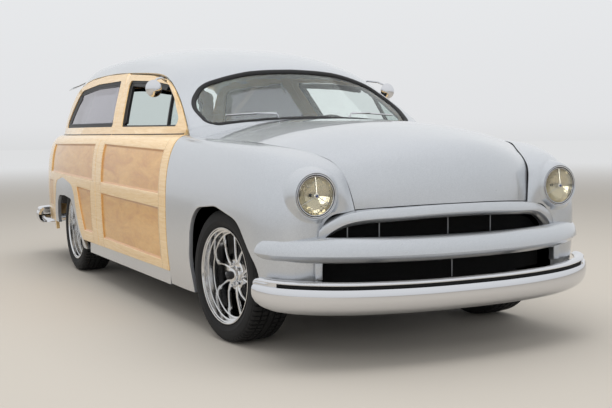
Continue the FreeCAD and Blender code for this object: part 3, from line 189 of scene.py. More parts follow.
finishes = {
    # Cool silver that sparkles finely under a deep gloss
    "body_paint": metallic_paint("silver_metallic_paint", "d0d3d7", "b2b6bb"),
    # Satin near-black that leaves the chassis in shadow
    "black_paint": plain_finish("black_chassis_paint", "161617", 0.0, 0.45, 0.6, 30.0, 0.1),
    # Dull black with a slight steel sheen
    "dark_steel": plain_finish("black_coated_steel", "202022", 0.2, 0.5, 0.65, 60.0, 0.3),
    # A clean mirror that picks up floor and sky
    "chrome": plain_finish("bright_chrome_plate", "dcdde0", 1.0, 0.03, 0.07, 25.0, 0.0),
    # A softer mirror than chrome, a little warmer
    "polished": plain_finish("polished_aluminium", "dcdcdc", 1.0, 0.08, 0.16, 60.0, 0.0),
    # Deep matt black
    "tyre": plain_finish("tyre_rubber", "0d0d0e", 0.0, 0.7, 0.85, 220.0, 0.4),
    # Soft black line round glass and lamps
    "rubber": plain_finish("moulded_black_rubber", "0e0e0f", 0.0, 0.45, 0.6, 90.0, 0.2),
    # Faintly green and clear
    "glass": clear_glass("window_safety_glass", "dfe9e6", 0.0),
    # Clear, with upright flutes that break up the reflector
    "lens": fluted_glass("lamp_lens_glass", "f4f2ea"),
    # Deep red with a wet highlight
    "red_lens": plain_finish("red_moulded_lens", "9a0c0c", 0.0, 0.08, 0.12, 60.0, 0.0, Coat_Weight=1.0),
    # Tan with a fine pore and a low sheen
    "leather": plain_finish("tan_seat_leather", "9c7a55", 0.0, 0.42, 0.56, 400.0, 0.5),
    # Dark and half-glossy, so the gauges stand out
    "dark_plastic": plain_finish("dark_painted_dashboard", "2a2b2e", 0.0, 0.3, 0.42, 80.0, 0.1),
    # Rough grey of a painted casting
    "iron": plain_finish("painted_cast_iron", "46474a", 0.3, 0.5, 0.7, 90.0, 0.5),
    # Dull black behind the grille
    "radiator": plain_finish("black_radiator_core", "1a1a1b", 0.3, 0.5, 0.6, 200.0, 0.4),
    # Pale honey with its grain running along the car
    "maple_rail": wood_finish("varnished_maple_rail", "ecce9e", "e5c289", "dab175", (0.5, 6.0, 9.0)),
    # The same maple with its grain upright
    "maple_stile": wood_finish("varnished_maple_stile", "ecce9e", "e5c289", "dab175", (9.0, 6.0, 0.5)),
    # Deeper gold with a broad, cloudy figure
    "birch_panel": wood_finish("varnished_birch_panel", "d9a657", "ce9845", "bf8434", (0.25, 0.5, 0.9)),
    # Darker amber round each panel's bevel: painted shade of the sunk edges
    "maple_edge": wood_finish("maple_moulding_painted_shade", "cf9446", "c38636", "b3752a", (0.5, 6.0, 9.0)),
    # Darker amber where the frame turns in to the glass and on cut edges: painted shade on faces turned from
    # the outside
    "maple_reveal": wood_finish("window_reveal_painted_shade", "cf9a55", "c48d48", "b67d3a", (0.5, 6.0, 9.0)),
    # Thin grey bars that barely catch the light
    "dull_metal": plain_finish("dulled_grille_bar", "8d8f92", 0.8, 0.3, 0.4, 60.0, 0.0),
    # Cool, milky tint of the side windows
    "lilac_glass": clear_glass("tinted_side_glass", "b3afb9", 0.01, 0.72),
    # Warm off-white face
    "cream_dial": plain_finish("cream_dial_face", "d9d2bd", 0.0, 0.3, 0.4, 60.0, 0.0),
    # Thin brown line where rail meets stile
    "joint_line": plain_finish("dark_glue_line", "6b431c", 0.0, 0.5, 0.6, 60.0, 0.0),
    # Warm silver behind the lens
    "reflector": plain_finish("vacuum_silvered_reflector", "cfcabb", 1.0, 0.06, 0.12, 60.0, 0.0),
    # One bright blue dot in each lamp
    "blue_glass": plain_finish("blue_lamp_jewel", "1c3f9c", 0.0, 0.04, 0.08, 60.0, 0.0, Coat_Weight=1.0),
    # Pale grey cloth overhead
    "headlining": plain_finish("grey_headlining_cloth", "b9b4a8", 0.0, 0.85, 0.95, 700.0, 0.6),
    # Black that gives nothing back: painted shade in the grille, the fenders and the bumper slots
    "shade_black": plain_finish("matt_black_painted_shade", "050506", 0.0, 0.8, 0.9, 60.0, 0.0),
    # Grey line inside the black channel
    "grey_gasket": plain_finish("grey_window_gasket", "3a3c40", 0.0, 0.5, 0.6, 90.0, 0.1),
}


# Making pieces

def finished(mesh, name, body, slot, looks, smooth_angle=35.0):
    """The mesh as an object on that body, smooth but for its sharp edges; looks names its finishes."""
    for look in looks.split():
        mesh.materials.append(finishes[look])
    mesh.shade_smooth()
    mesh.set_sharp_from_angle(angle=math.radians(smooth_angle))
    piece = bpy.data.objects.new(name, mesh)
    bpy.context.scene.collection.objects.link(piece)
    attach(piece, body)
    return piece


def from_bmesh(bm, name, body, slot, looks, smooth_angle=35.0):
    """A finished piece from a bmesh, with merged points and outward faces."""
    bmesh.ops.remove_doubles(bm, verts=bm.verts, dist=merge_within)
    bmesh.ops.recalc_face_normals(bm, faces=bm.faces)
    mesh = bpy.data.meshes.new(name)
    bm.to_mesh(mesh)
    bm.free()
    return finished(mesh, name, body, slot, looks, smooth_angle)


def dressed(node, looks=None, pick=None):
    """A merged, smooth copy of a CAD node; pick gives the number of a face's finish."""
    bm = bmesh.new()
    bm.from_mesh(nodes[node].data)
    bmesh.ops.remove_doubles(bm, verts=bm.verts, dist=merge_within)
    if pick:
        for face in bm.faces:
            face.material_index = pick(face.calc_center_median(), face.normal)
    mesh = bpy.data.meshes.new(node + "_skin")
    bm.to_mesh(mesh)
    bm.free()
    mesh.materials.clear()
    slot = slot_of_node[node]
    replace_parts(finished(mesh, node + "_skin", body_of_node[node], slot, looks or slot, 28.0), node)


def side_wood(side):
    """Outer faces, window reveals and cut edges, and the trimmed inside."""
    def pick(centre, normal):
        if normal.y * side > 0.30:
            return 0
        # Faces turned part way from the outside take the darker amber: painted shade
        return 2 if normal.y * side < -0.60 else 1
    return pick


rebuilt = ("rim_", "tyre_", "headlamps", "front_bumper", "rear_bumper", "grille_", "front_seat", "rear_seat")


def inward_faces(core):
    """For a shell: its outside, then what faces its middle."""
    def pick(centre, normal):
        return 1 if normal.dot(centre - core) < 0 else 0
    return pick


cabin_core = Vector((ahead(-2.2), 0.0, 0.75))
nose_core = Vector((ahead(0.1), 0.0, 0.55))
tail_core = Vector((ahead(-2.8), 0.0, 0.80))
shells = {
    "roof_shell": (cabin_core, "body_paint headlining"),
    "hood": (nose_core, "body_paint black_paint"),
    "front_fender_left": (nose_core + Vector((0, 0.35, 0)), "body_paint black_paint"),
    "front_fender_right": (nose_core - Vector((0, 0.35, 0)), "body_paint black_paint"),
    "tailgate": (tail_core, "maple_rail maple_stile"),
    # The liftgate's inward faces take the darker amber: painted shade
    "liftgate": (tail_core, "maple_rail maple_reveal"),
}
for node in nodes:
    if not node.startswith(rebuilt):
        if node in ("door_left", "door_right", "quarter_left", "quarter_right"):
            side = 1.0 if node.endswith("left") else -1.0
            dressed(node, "maple_rail maple_reveal leather", side_wood(side))
        elif node in shells:
            core, looks = shells[node]
            dressed(node, looks, inward_faces(core))
        elif node == "quarter_glass":
            dressed(node, "lilac_glass")
        else:
            dressed(node)

# Shaping helpers

def spun(profile, steps, closed=True):
    """A bmesh of (y, radius) points spun about the Y axis."""
    bm = bmesh.new()
    line = [bm.verts.new((0.0, y, radius)) for y, radius in profile]
    ends = line + line[:1] if closed else line
    edges = [bm.edges.new(pair) for pair in zip(ends, ends[1:])]
    bmesh.ops.spin(bm, geom=line + edges, cent=(0, 0, 0), axis=(0, 1, 0), angle=math.tau, steps=steps,
                   use_merge=True, use_duplicate=False)
    bmesh.ops.remove_doubles(bm, verts=bm.verts, dist=merge_within)
    return bm


def lofted(bm, places, segments=8):
    """Rings at these matrices, bridged one to the next and closed at both ends."""
    before = None
    for place in places:
        made = bmesh.ops.create_circle(bm, cap_ends=False, radius=1.0, segments=segments, matrix=place)
        ring = list({edge for vert in made["verts"] for edge in vert.link_edges})
        if before is None:
            bmesh.ops.contextual_create(bm, geom=ring)
        else:
            bmesh.ops.bridge_loops(bm, edges=before + ring)
        before = ring
    bmesh.ops.contextual_create(bm, geom=before)


def ring_at(point, along, across, wide, thick):
    """A matrix for an oval ring at a point, facing along, with its width across."""
    along = along.normalized()
    across = (across - along * across.dot(along)).normalized()
    rest = along.cross(across)
    return Matrix.Translation(point) @ Matrix((across * wide, rest * thick, along)).transposed().to_4x4()


def rod(bm, points, radius, segments=8):
    """A round rod through points."""
    places = []
    for i, point in enumerate(points):
        along = points[min(i + 1, len(points) - 1)] - points[max(i - 1, 0)]
        across = along.cross(Vector((0.3, 0.2, 1.0)))
        places.append(ring_at(point, along, across, radius, radius))
    lofted(bm, places, segments)


def rounded(corners, arc_steps=6):
    """(a, b, radius) corners of a closed outline, with their arcs."""
    outline = []
    count = len(corners)
    for i, (a, b, radius) in enumerate(corners):
        corner = Vector((a, b))
        back = Vector(corners[i - 1][:2]) - corner
        on = Vector(corners[(i + 1) % count][:2]) - corner
        if radius <= 0:
            outline.append(corner)
            continue
        half = back.angle(on) / 2.0
        reach = min(radius / math.tan(half), 0.49 * min(back.length, on.length))
        start = corner + back.normalized() * reach
        end = corner + on.normalized() * reach
        centre = corner + (back.normalized() + on.normalized()).normalized() * (reach / math.cos(half))
        arm, end_arm = start - centre, end - centre
        for k in range(arc_steps + 1):
            outline.append(centre + arm.slerp(end_arm, k / arc_steps).normalized() * arm.length)
    return outline


def divided(outline, spacing, closed=True):
    """The outline with no stretch longer than spacing."""
    points = []
    ends = outline[1:] + outline[:1] if closed else outline[1:]
    for start, end in zip(outline, ends):
        parts = max(1, math.ceil((end - start).length / spacing))
        points += [start.lerp(end, k / parts) for k in range(parts)]
    if not closed:
        points.append(outline[-1])
    return points


def moved_out(outline, distance):
    """A closed outline, moved out from its own inside."""
    area = sum(a.x * b.y - b.x * a.y for a, b in zip(outline, outline[1:] + outline[:1]))
    turn = 1.0 if area > 0 else -1.0
    moved = []
    for i, point in enumerate(outline):
        along = outline[(i + 1) % len(outline)] - outline[i - 1]
        moved.append(point + Vector((along.y, -along.x)).normalized() * distance * turn)
    return moved


def grid(columns, rows):
    """A flat grid to shape, and its points with their column and row."""
    bm = bmesh.new()
    bmesh.ops.create_grid(bm, x_segments=columns, y_segments=rows, size=1.0)
    marked = [(vert, round((vert.co.x + 1.0) / 2.0 * columns), round((vert.co.y + 1.0) / 2.0 * rows))
              for vert in bm.verts]
    return bm, marked


def closed_up(bm):
    """Its seam merged and its open ends filled."""
    bmesh.ops.remove_doubles(bm, verts=bm.verts, dist=merge_within)
    bmesh.ops.holes_fill(bm, edges=[edge for edge in bm.edges if edge.is_boundary])


def surface(*names, extra=None):
    """A search tree over CAD nodes and one more piece, to lay trim on."""
    bm = bmesh.new()
    for name in names:
        bm.from_mesh(nodes[name].data)
    if extra:
        bm.from_mesh(extra.data)
    tree = BVHTree.FromBMesh(bm)
    bm.free()
    return tree


def laid_side(tree, side, outline, from_y=1.3):
    """Side-view points (ahead, z) laid on the car from outside: points and normals."""
    hits = []
    for point in outline:
        start = Vector((ahead(point.x), side * from_y, point.y))
        place, normal, _, _ = tree.ray_cast(start, Vector((0, -side, 0)))
        if place is None:
            place, normal, _, _ = tree.find_nearest(start - Vector((0, side * (from_y - 0.75), 0)))
        hits.append((place, normal if normal.y * side > 0 else -normal))
    return hits


def swept(name, body, slot, look, hits, section, closed=True, inwards=None, smooth_angle=40.0):
    """Section (sideways, lift) points carried along points laid on a surface."""
    count = len(hits)
    middle = inwards or sum((place for place, _ in hits), Vector()) / count
    stations = []
    for i, (place, normal) in enumerate(hits):
        before = hits[i - 1][0] if closed or i else place
        after = hits[(i + 1) % count][0] if closed or i + 1 < count else place
        along = (after - before).normalized()
        side = normal.cross(along).normalized()
        stations.append([place, side, along.cross(side)])
    if sum((middle - place).dot(side) for place, side, _ in stations) < 0:
        for station in stations:
            station[1] = -station[1]
    for station, (_, normal) in zip(stations, hits):
        if station[2].dot(normal) < 0:
            station[2] = -station[2]
    columns = count if closed else count - 1
    bm, marked = grid(columns, len(section))
    for vert, i, j in marked:
        place, side, lift = stations[i % count]
        sideways, rise = section[j % len(section)]
        vert.co = place + side * sideways + lift * rise
    if not closed:
        closed_up(bm)
    return from_bmesh(bm, name, body, slot, look, smooth_angle)


# Wheels and tyres

def at_wheel(bm, name):
    """From a left wheel built on the origin to its corner of the car."""
    side = 1.0 if name.endswith("left") else -1.0
    steered = name.startswith("front")
    pivot = Matrix.Translation((ahead(0.0 if steered else -wheelbase), side * kingpin_y, tyre_radius))
    turn = Matrix.Rotation(parked_steer if steered else 0.0, 4, "Z")
    out = Matrix.Translation((0.0, side * (wheel_plane_y - kingpin_y), 0.0))
    mirror = Matrix.Diagonal((1.0, side, 1.0, 1.0))
    bmesh.ops.transform(bm, matrix=pivot @ turn @ out @ mirror, verts=bm.verts)


# Polished lip with its three steps, then the barrel back to the inner bead: y, radius
lip_profile = (
    (0.0962, 0.2355), (0.0988, 0.2342), (0.0990, 0.2305), (0.0978, 0.2285), (0.0925, 0.2268),
    (0.0910, 0.2210), (0.0720, 0.2182), (0.0700, 0.2120), (0.0450, 0.2092), (0.0430, 0.2030),
    (0.0200, 0.2000), (-0.0500, 0.1960), (-0.0650, 0.2130), (-0.0950, 0.2170), (-0.0985, 0.2330),
    (-0.0975, 0.2355), (-0.0910, 0.2355), (-0.0900, 0.2210), (-0.0630, 0.2210), (-0.0510, 0.2062),
    (0.0120, 0.2062), (0.0320, 0.2210), (0.0900, 0.2210), (0.0910, 0.2355),
)
hub_profile = (
    (-0.0080, 0.0210), (-0.0080, 0.0720), (0.0180, 0.0800), (0.0310, 0.0760), (0.0350, 0.0700),
    (0.0350, 0.0450), (0.0390, 0.0400), (0.0500, 0.0385), (0.0560, 0.0345), (0.0585, 0.0260),
    (0.0592, 0.0120), (0.0592, 0.0),
)
spoke_pairs = 5
# Along a spoke: radius, y, half width, half thickness, share of the spread
spoke_stations = (
    (0.058, 0.024, 0.0150, 0.0120, 0.0), (0.080, 0.030, 0.0085, 0.0105, 0.10),
    (0.110, 0.030, 0.0070, 0.0095, 0.35), (0.145, 0.025, 0.0065, 0.0090, 0.68),
    (0.178, 0.018, 0.0075, 0.0100, 0.92), (0.2035, 0.012, 0.0140, 0.0120, 1.0),
)
spread_near = math.radians(9.0)
spread_far = math.radians(19.0)
spoke_twist = math.radians(7.0)
lug_circle = 0.0572


def rim_shape():
    """Lip, barrel, hub and paired spokes of a left wheel."""
    bm = spun(lip_profile, 96)
    hub = spun(hub_profile, 48, closed=False)
    scratch = bpy.data.meshes.new("hub")
    hub.to_mesh(scratch)
    hub.free()
    bm.from_mesh(scratch)
    bpy.data.meshes.remove(scratch)
    for pair_number in range(spoke_pairs):
        for lean in (-1.0, 1.0):
            places = []
            for radius, y, wide, thick, share in spoke_stations:
                angle = math.tau * pair_number / spoke_pairs + spoke_twist * share
                angle += lean * (spread_near + (spread_far - spread_near) * share)
                out = Vector((math.cos(angle), 0.0, math.sin(angle)))
                places.append(ring_at(out * radius + Vector((0.0, y, 0.0)), out, out.cross(Vector((0, 1, 0))),
                                      wide, thick))
            lofted(bm, places, 10)
    return bm


def lug_nuts():
    """Five tapered nuts between the spoke pairs."""
    bm = bmesh.new()
    for number in range(spoke_pairs):
        angle = math.tau * (number + 0.5) / spoke_pairs
        centre = Vector((math.cos(angle) * lug_circle, 0.044, math.sin(angle) * lug_circle))
        place = Matrix.Translation(centre) @ Matrix.Rotation(-math.pi / 2.0, 4, "X")
        bmesh.ops.create_cone(bm, cap_ends=True, segments=6, radius1=0.0115, radius2=0.0095, depth=0.020,
                              matrix=place)
    bmesh.ops.bevel(bm, geom=bm.edges[:], offset=0.0012, offset_type="OFFSET", segments=2, profile=0.5,
                    affect="EDGES", material=-1)
    return bm


tyre_steps = 144
tread_grooves = ((0.054, 0.008), (0.018, 0.009))
groove_depth = 0.0075
tread_edge = 0.086
# Sipes: every second step of the tread turns, and blocks between them are sunk
tread_from = 0.30
sipe_turn = 0.45
sipe_depth = 0.0055
sipe_width = 0.0105
sipes_from_y = 0.023
shoulder_band = (0.309, 0.3165)
# Sidewall from the bead to the shoulder, with its fine rings: y, radius
sidewall = (
    (0.0897, 0.2215), (0.0900, 0.2372), (0.0950, 0.2385), (0.0978, 0.2412), (0.0984, 0.2440),
    (0.1012, 0.2462), (0.1018, 0.2478), (0.1010, 0.2490), (0.1040, 0.2560), (0.1060, 0.2640),
    (0.1067, 0.2660), (0.1063, 0.2675), (0.1068, 0.2780), (0.1056, 0.2890), (0.1028, 0.2985),
    (0.1022, 0.3000), (0.1002, 0.3010), (0.0975, 0.3075), (0.0930, 0.3140), (0.0895, 0.3170),
)


def crown_radius(y):
    """The tread is a little lower towards its shoulders."""
    return tyre_radius - 0.0042 * (y / tread_edge) ** 2


def tyre_shape():
    """Sidewalls with rings, ribs with sipes, and two grooves each side."""
    half = [(tread_edge, crown_radius(tread_edge))]
    for centre, width in tread_grooves:
        for y, sunk in ((centre + width / 2, 0.0), (centre + width * 0.3, 1.0), (centre - width * 0.3, 1.0),
                        (centre - width / 2, 0.0)):
            half.append((y, crown_radius(y) - groove_depth * sunk))
    profile = list(sidewall) + half
    profile += [(-y, radius) for y, radius in reversed(profile)]
    bm = spun(profile, tyre_steps)
    step = math.tau / tyre_steps
    cells = []
    for vert in bm.verts:
        angle = math.atan2(vert.co.z, vert.co.x) % math.tau
        if round(angle / step) % 2 and vert.co.xz.length > tread_from:
            vert.co = Matrix.Rotation(step * sipe_turn, 4, "Y") @ vert.co
    for face in bm.faces:
        middle = face.calc_center_median()
        length = max(edge.calc_length() for edge in face.edges
                     if abs(edge.verts[0].co.y - edge.verts[1].co.y) < 1e-4)
        radius = middle.xz.length
        on_rib = (abs(radius - crown_radius(middle.y)) < 0.0015
                  or shoulder_band[0] < radius < shoulder_band[1])
        if on_rib and length < sipe_width and abs(middle.y) > sipes_from_y:
            cells.append(face)
    cut = bmesh.ops.extrude_discrete_faces(bm, faces=cells)
    for face in cut["faces"]:
        for vert in face.verts:
            vert.co -= Vector((vert.co.x, 0.0, vert.co.z)).normalized() * sipe_depth
    return bm


for corner in ("front_left", "front_right", "rear_left", "rear_right"):
    wheel = "wheel_" + corner
    bm = rim_shape()
    at_wheel(bm, corner)
    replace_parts(from_bmesh(bm, "spoked_rim_" + corner, wheel, "polished", "polished", 30.0),
                "rim_" + corner)
    bm = lug_nuts()
    at_wheel(bm, corner)
    from_bmesh(bm, "lug_nuts_" + corner, wheel, "chrome", "chrome", 30.0)
    bm = tyre_shape()
    at_wheel(bm, corner)
    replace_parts(from_bmesh(bm, "treaded_tyre_" + corner, wheel, "tyre", "tyre", 32.0),
                "tyre_" + corner)


# Headlamps

lamp_y = 0.667
lamp_z = 0.739
lamp_ahead = 0.683
# y is forward from the lamp's plane
bezel_profile = (
    (-0.040, 0.0958), (-0.002, 0.0958), (0.0035, 0.0945), (0.0045, 0.0925), (0.0030, 0.0908),
    (-0.040, 0.0908),
)
gasket_profile = ((-0.038, 0.0908), (-0.0010, 0.0908), (-0.0018, 0.0872), (-0.038, 0.0872))
retainer_profile = ((-0.030, 0.0872), (0.0010, 0.0872), (0.0026, 0.0860), (0.0020, 0.0838), (-0.030, 0.0832))
reflector_profile = (
    (-0.004, 0.0832), (-0.016, 0.0760), (-0.027, 0.0640), (-0.037, 0.0500), (-0.045, 0.0340),
    (-0.050, 0.0170), (-0.0505, 0.0090),
)
shield_profile = (
    (-0.020, 0.0), (-0.018, 0.0125), (0.001, 0.0145), (0.006, 0.0125), (0.0085, 0.0075), (0.0090, 0.0),
)
jewel_profile = ((0.0086, 0.0), (0.0086, 0.0062), (0.0105, 0.0050), (0.0112, 0.0))
lens_rise = 0.0158
lens_edge = 0.0835


def lens_profile():
    """Domed front and back of the lens, out to its edge."""
    shares = [k / 8.0 for k in range(9)]
    front = [(lens_rise * (1.0 - share ** 2), lens_edge * share) for share in shares]
    back = [(lens_rise * (1.0 - share ** 2) - 0.0030, lens_edge * share) for share in reversed(shares)]
    return front + back


def lamp_pieces(side, side_name):
    """One headlamp: bezel, gasket, retainer, faceted reflector, three-bar shield, blue jewel and lens."""
    place = Matrix.Translation((ahead(lamp_ahead), side * lamp_y, lamp_z))
    place = place @ Matrix.Rotation(-math.pi / 2.0, 4, "Z")
    made = []

    def finish(bm, name, slot, look, smooth_angle=40.0):
        bmesh.ops.transform(bm, matrix=place, verts=bm.verts)
        made.append(from_bmesh(bm, name + "_" + side_name, "body", slot, look, smooth_angle))

    finish(spun(bezel_profile, 72), "lamp_bezel", "chrome", "chrome")
    finish(spun(gasket_profile, 72), "lamp_gasket", "tyre", "rubber")
    finish(spun(retainer_profile, 72), "lamp_retainer", "chrome", "chrome")
    bowl = spun(reflector_profile, 30, closed=False)
    bmesh.ops.solidify(bowl, geom=bowl.faces[:], thickness=0.0012)
    finish(bowl, "lamp_reflector", "chrome", "reflector", 1.0)
    bars = bmesh.new()
    for angle in (math.radians(90.0), math.radians(210.0), math.radians(330.0)):
        out = Vector((math.cos(angle), 0.0, math.sin(angle)))
        places = [ring_at(out * radius + Vector((0.0, y, 0.0)), out, Vector((0, 1, 0)), 0.0040, 0.0022)
                  for radius, y in ((0.010, 0.004), (0.045, 0.000), (0.081, -0.006))]
        lofted(bars, places, 8)
    finish(bars, "lamp_bars", "chrome", "chrome")
    finish(spun(shield_profile, 36, closed=False), "lamp_shield", "chrome", "chrome")
    finish(spun(jewel_profile, 24, closed=False), "lamp_jewel", "lens", "blue_glass")
    finish(spun(lens_profile(), 64, closed=False), "lamp_lens", "lens", "lens")
    return made


lamp_parts = lamp_pieces(1.0, "left") + lamp_pieces(-1.0, "right")
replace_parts(lamp_parts[0], "headlamps")

# The wooden side: its own surface, laid a little over the CAD's
# Columns: belt ahead and y, fullest ahead and y, foot ahead and y, squareness
flank_rows = (
    (-0.640, 0.741, -0.640, 0.884, -0.640, 0.857, 2.45), (-1.150, 0.762, -1.150, 0.886, -1.150, 0.859, 2.5),
    (-1.650, 0.777, -1.650, 0.887, -1.650, 0.860, 2.6), (-2.120, 0.784, -2.120, 0.887, -2.120, 0.861, 2.7),
    (-2.600, 0.779, -2.600, 0.885, -2.600, 0.860, 2.7), (-3.050, 0.762, -3.050, 0.879, -3.050, 0.854, 2.7),
    (-3.400, 0.740, -3.400, 0.866, -3.400, 0.842, 2.6), (-3.700, 0.706, -3.720, 0.838, -3.720, 0.815, 2.5),
    (-3.890, 0.668, -3.960, 0.783, -3.950, 0.765, 2.45), (-3.990, 0.636, -4.110, 0.700, -4.095, 0.690, 2.4),
    (-4.040, 0.600, -4.172, 0.600, -4.160, 0.600, 2.4),
)
# Columns: ahead, y at the belt, y and z at the drip rail
frame_rows = (
    (-0.560, 0.764, 0.640, 1.300), (-0.900, 0.768, 0.640, 1.360), (-1.300, 0.772, 0.634, 1.395),
    (-1.700, 0.776, 0.619, 1.425), (-2.120, 0.777, 0.602, 1.450), (-2.600, 0.774, 0.594, 1.462),
    (-3.050, 0.762, 0.588, 1.462), (-3.400, 0.740, 0.587, 1.450), (-3.700, 0.704, 0.583, 1.420),
    (-3.960, 0.652, 0.560, 1.380),
)
belt_z = 1.003
flank_side_z = 0.590
flank_foot_z = 0.200


def eased(rows, at):
    """The row at that first value, by a smooth curve through the rows."""
    last = len(rows) - 1
    turn = 1.0 if rows[last][0] > rows[0][0] else -1.0
    i = min(sum(1 for row in rows[1:] if (at - row[0]) * turn > 0), last - 1)
    span = rows[i + 1][0] - rows[i][0]
    t = min(max((at - rows[i][0]) / span, -0.1), 1.0)
    values = []
    for column in range(len(rows[0])):
        slopes = []
        for k in (i, i + 1):
            before, after = rows[max(k - 1, 0)], rows[min(k + 1, last)]
            slopes.append((after[column] - before[column]) / (after[0] - before[0]) * span)
        start, end = rows[i][column], rows[i + 1][column]
        values.append(start + slopes[0] * t + (3 * (end - start) - 2 * slopes[0] - slopes[1]) * t ** 2
                      + (slopes[0] + slopes[1] - 2 * (end - start)) * t ** 3)
    return values


def flank_at(side, column, z):
    """A point on the wooden flank at that column and height."""
    belt_a, belt_y, side_a, side_y, foot_a, foot_y, squareness = eased(flank_rows, column)
    if z >= flank_side_z:
        up = min(1.0, (z - flank_side_z) / (belt_z - flank_side_z))
        out = (1.0 - up ** squareness) ** (1.0 / squareness)
        return Vector((ahead(belt_a + (side_a - belt_a) * out), side * (belt_y + (side_y - belt_y) * out), z))
    down = ((flank_side_z - z) / (flank_side_z - flank_foot_z)) ** 2
    return Vector((ahead(side_a + (foot_a - side_a) * down), side * (side_y + (foot_y - side_y) * down), z))


def frame_at(side, column, z):
    """A point on the window frame's outer face."""
    _, belt_y, top_y, top_z = eased(frame_rows, column)
    share = max(0.0, (z - belt_z + 0.002) / (top_z - belt_z + 0.002))
    return Vector((ahead(column), side * (belt_y + (top_y - belt_y) * share ** 1.12), z))


def frame_hits(side, outline):
    """Side-view points (ahead, z) on the window frame, with their normals."""
    hits = []
    for point in outline:
        place = frame_at(side, point.x, point.y)
        along = frame_at(side, point.x + 0.01, point.y) - place
        upward = frame_at(side, point.x, point.y + 0.01) - place
        normal = along.cross(upward).normalized()
        hits.append((place, normal if normal.y * side > 0 else -normal))
    return hits


def upright_line(at_low, at_high, low, high):
    """A column through two side-view points: its place at a height."""
    return lambda z: at_low + (at_high - at_low) * (z - low) / (high - low)


def level_line(z_rear, z_front, rear=-1.950, front=-0.784):
    """A row through two side-view points: its height at a place along the car."""
    return lambda a: z_rear + (z_front - z_rear) * (a - rear) / (front - rear)


# Depth of the wood's face against how far inside a sunk field it is
relief_profile = (
    (-0.0055, 0.0015), (-0.0020, 0.0011), (0.0, 0.0), (0.0030, -0.0028), (0.0060, -0.0052),
    (0.0095, -0.0072), (0.0130, -0.0077), (0.0150, -0.0077),
)
proud = relief_profile[0][1]
joint_from_edge = 0.0090
joint_half = 0.0009
joint_depth = 0.0010
middle_z = 0.6
# Extra lines near a sheet's rim, and how its rim and skirt stand
rim_lines = (0.0015, 0.0050)
rim_rise = 0.0004
skirt_rise = -0.003
rail_from = -0.004
field_floor = 0.0110


def relief_at(inset):
    """How far the face stands out so far inside a field."""
    if inset <= relief_profile[0][0]:
        return proud
    for (d0, r0), (d1, r1) in zip(relief_profile, relief_profile[1:]):
        if inset <= d1:
            return r0 + (r1 - r0) * (inset - d0) / (d1 - d0)
    return relief_profile[-1][1]


def moved_line(line, distance):
    """The same line, moved along."""
    return lambda at: line(at) + distance


def lines_round(edges, first, last, spacing, joints):
    """Lines from first to last: close ones at each panel edge (line, sign inwards), wide ones between."""
    lines = [first] + [moved_line(first, distance) for distance in rim_lines]
    for line, sign in edges:
        near = [sign * inset for inset, _ in relief_profile]
        if joints:
            near += [-sign * (joint_from_edge + k * joint_half) for k in (-1, 0, 1)]
        lines += [moved_line(line, distance) for distance in sorted(near)]
    lines += [moved_line(last, -distance) for distance in reversed(rim_lines)] + [last]
    filled = []
    for line, following in zip(lines, lines[1:]):
        gap = abs(following(middle_z) - line(middle_z))
        parts = max(1, math.ceil(gap / spacing))
        filled += [(lambda at, a=line, b=following, t=k / parts: a(at) * (1 - t) + b(at) * t)
                   for k in range(parts)]
    return filled + [lines[-1]]


def relief_sheet(name, body, place, outside, columns, rows, panels, joints, runs_on=(), sunk=1.0):
    """Rails and stiles with sunk fields, as one face with rounded edges and a skirt behind."""
    columns = [columns[0]] + columns + [columns[-1]]
    rows = [rows[0]] + rows + [rows[-1]]
    wide = len(columns) - 1
    tall = len(rows) - 1
    bm, marked = grid(wide, tall)
    marks = {}
    for vert, i, j in marked:
        column = columns[i](middle_z)
        for _ in range(4):
            z = rows[j](column)
            column = columns[i](z)
        vert.co = place(column, z)
        marks[vert] = (i, j, column, z)

    def inset_at(column, z):
        return max((min(column - rear(z), front(z) - column, z - low(column), high(column) - z)
                    for rear, front, low, high in panels), default=-1.0)

    bm.normal_update()
    facing = 1.0 if sum((vert.normal for vert in bm.verts), Vector()).dot(outside) > 0 else -1.0
    moves = []
    for vert, (i, j, column, z) in marks.items():
        inset = inset_at(column, z)
        rise = proud - (proud - relief_at(inset)) * sunk
        if inset < rail_from and any(abs(column - joint(z)) < joint_half * 0.5 for joint in joints):
            rise = proud - joint_depth
        rims = [k for k, side in ((i, "rear"), (wide - i, "front"), (j, "low"), (tall - j, "high"))
                if side not in runs_on]
        if 1 in rims:
            rise = rim_rise
        if 0 in rims:
            rise = skirt_rise
        moves.append((vert, vert.normal * facing * rise))
    for vert, move in moves:
        vert.co += move
    for face in bm.faces:
        column = sum(marks[vert][2] for vert in face.verts) / len(face.verts)
        z = sum(marks[vert][3] for vert in face.verts) / len(face.verts)
        inset = inset_at(column, z)
        beside = any(rear(z) > column or column > front(z) for rear, front, low, high in panels)
        within = any(low(column) - 0.02 < z < high(column) + 0.02 for rear, front, low, high in panels)
        face.material_index = 0 if within or not beside else 1
        if inset > field_floor:
            face.material_index = 2
        # Bevels into each field take the darker amber: painted shade of the sunk edges
        elif inset > 0.0:
            face.material_index = 3
        elif inset < rail_from and any(abs(column - joint(z)) < joint_half for joint in joints):
            face.material_index = 4
    return from_bmesh(bm, name, body, "wood", wood_looks)


door_bevel = math.tan(math.radians(12.0))
door_rear = -2.090
door_front = -0.666
flank_skin_y = 0.885
shut_gap = 0.006


def rear_shut_line(z):
    """The door's bevelled rear edge, seen from the side."""
    return door_rear + door_bevel * (flank_skin_y - flank_at(1.0, door_rear, z).y) + 0.0004


arch_band = (
    (-2.370, 0.150, 0), (-2.600, 0.320, 0.300), (-2.735, 0.640, 0.160), (-3.060, 0.690, 0.300),
    (-3.330, 0.655, 0.120), (-3.420, 0.420, 0.060), (-3.470, 0.150, 0),
)
arch_line = rounded(arch_band, 10)
arch_top = max(arch_line, key=lambda p: p.y)
arch_gap = 0.003


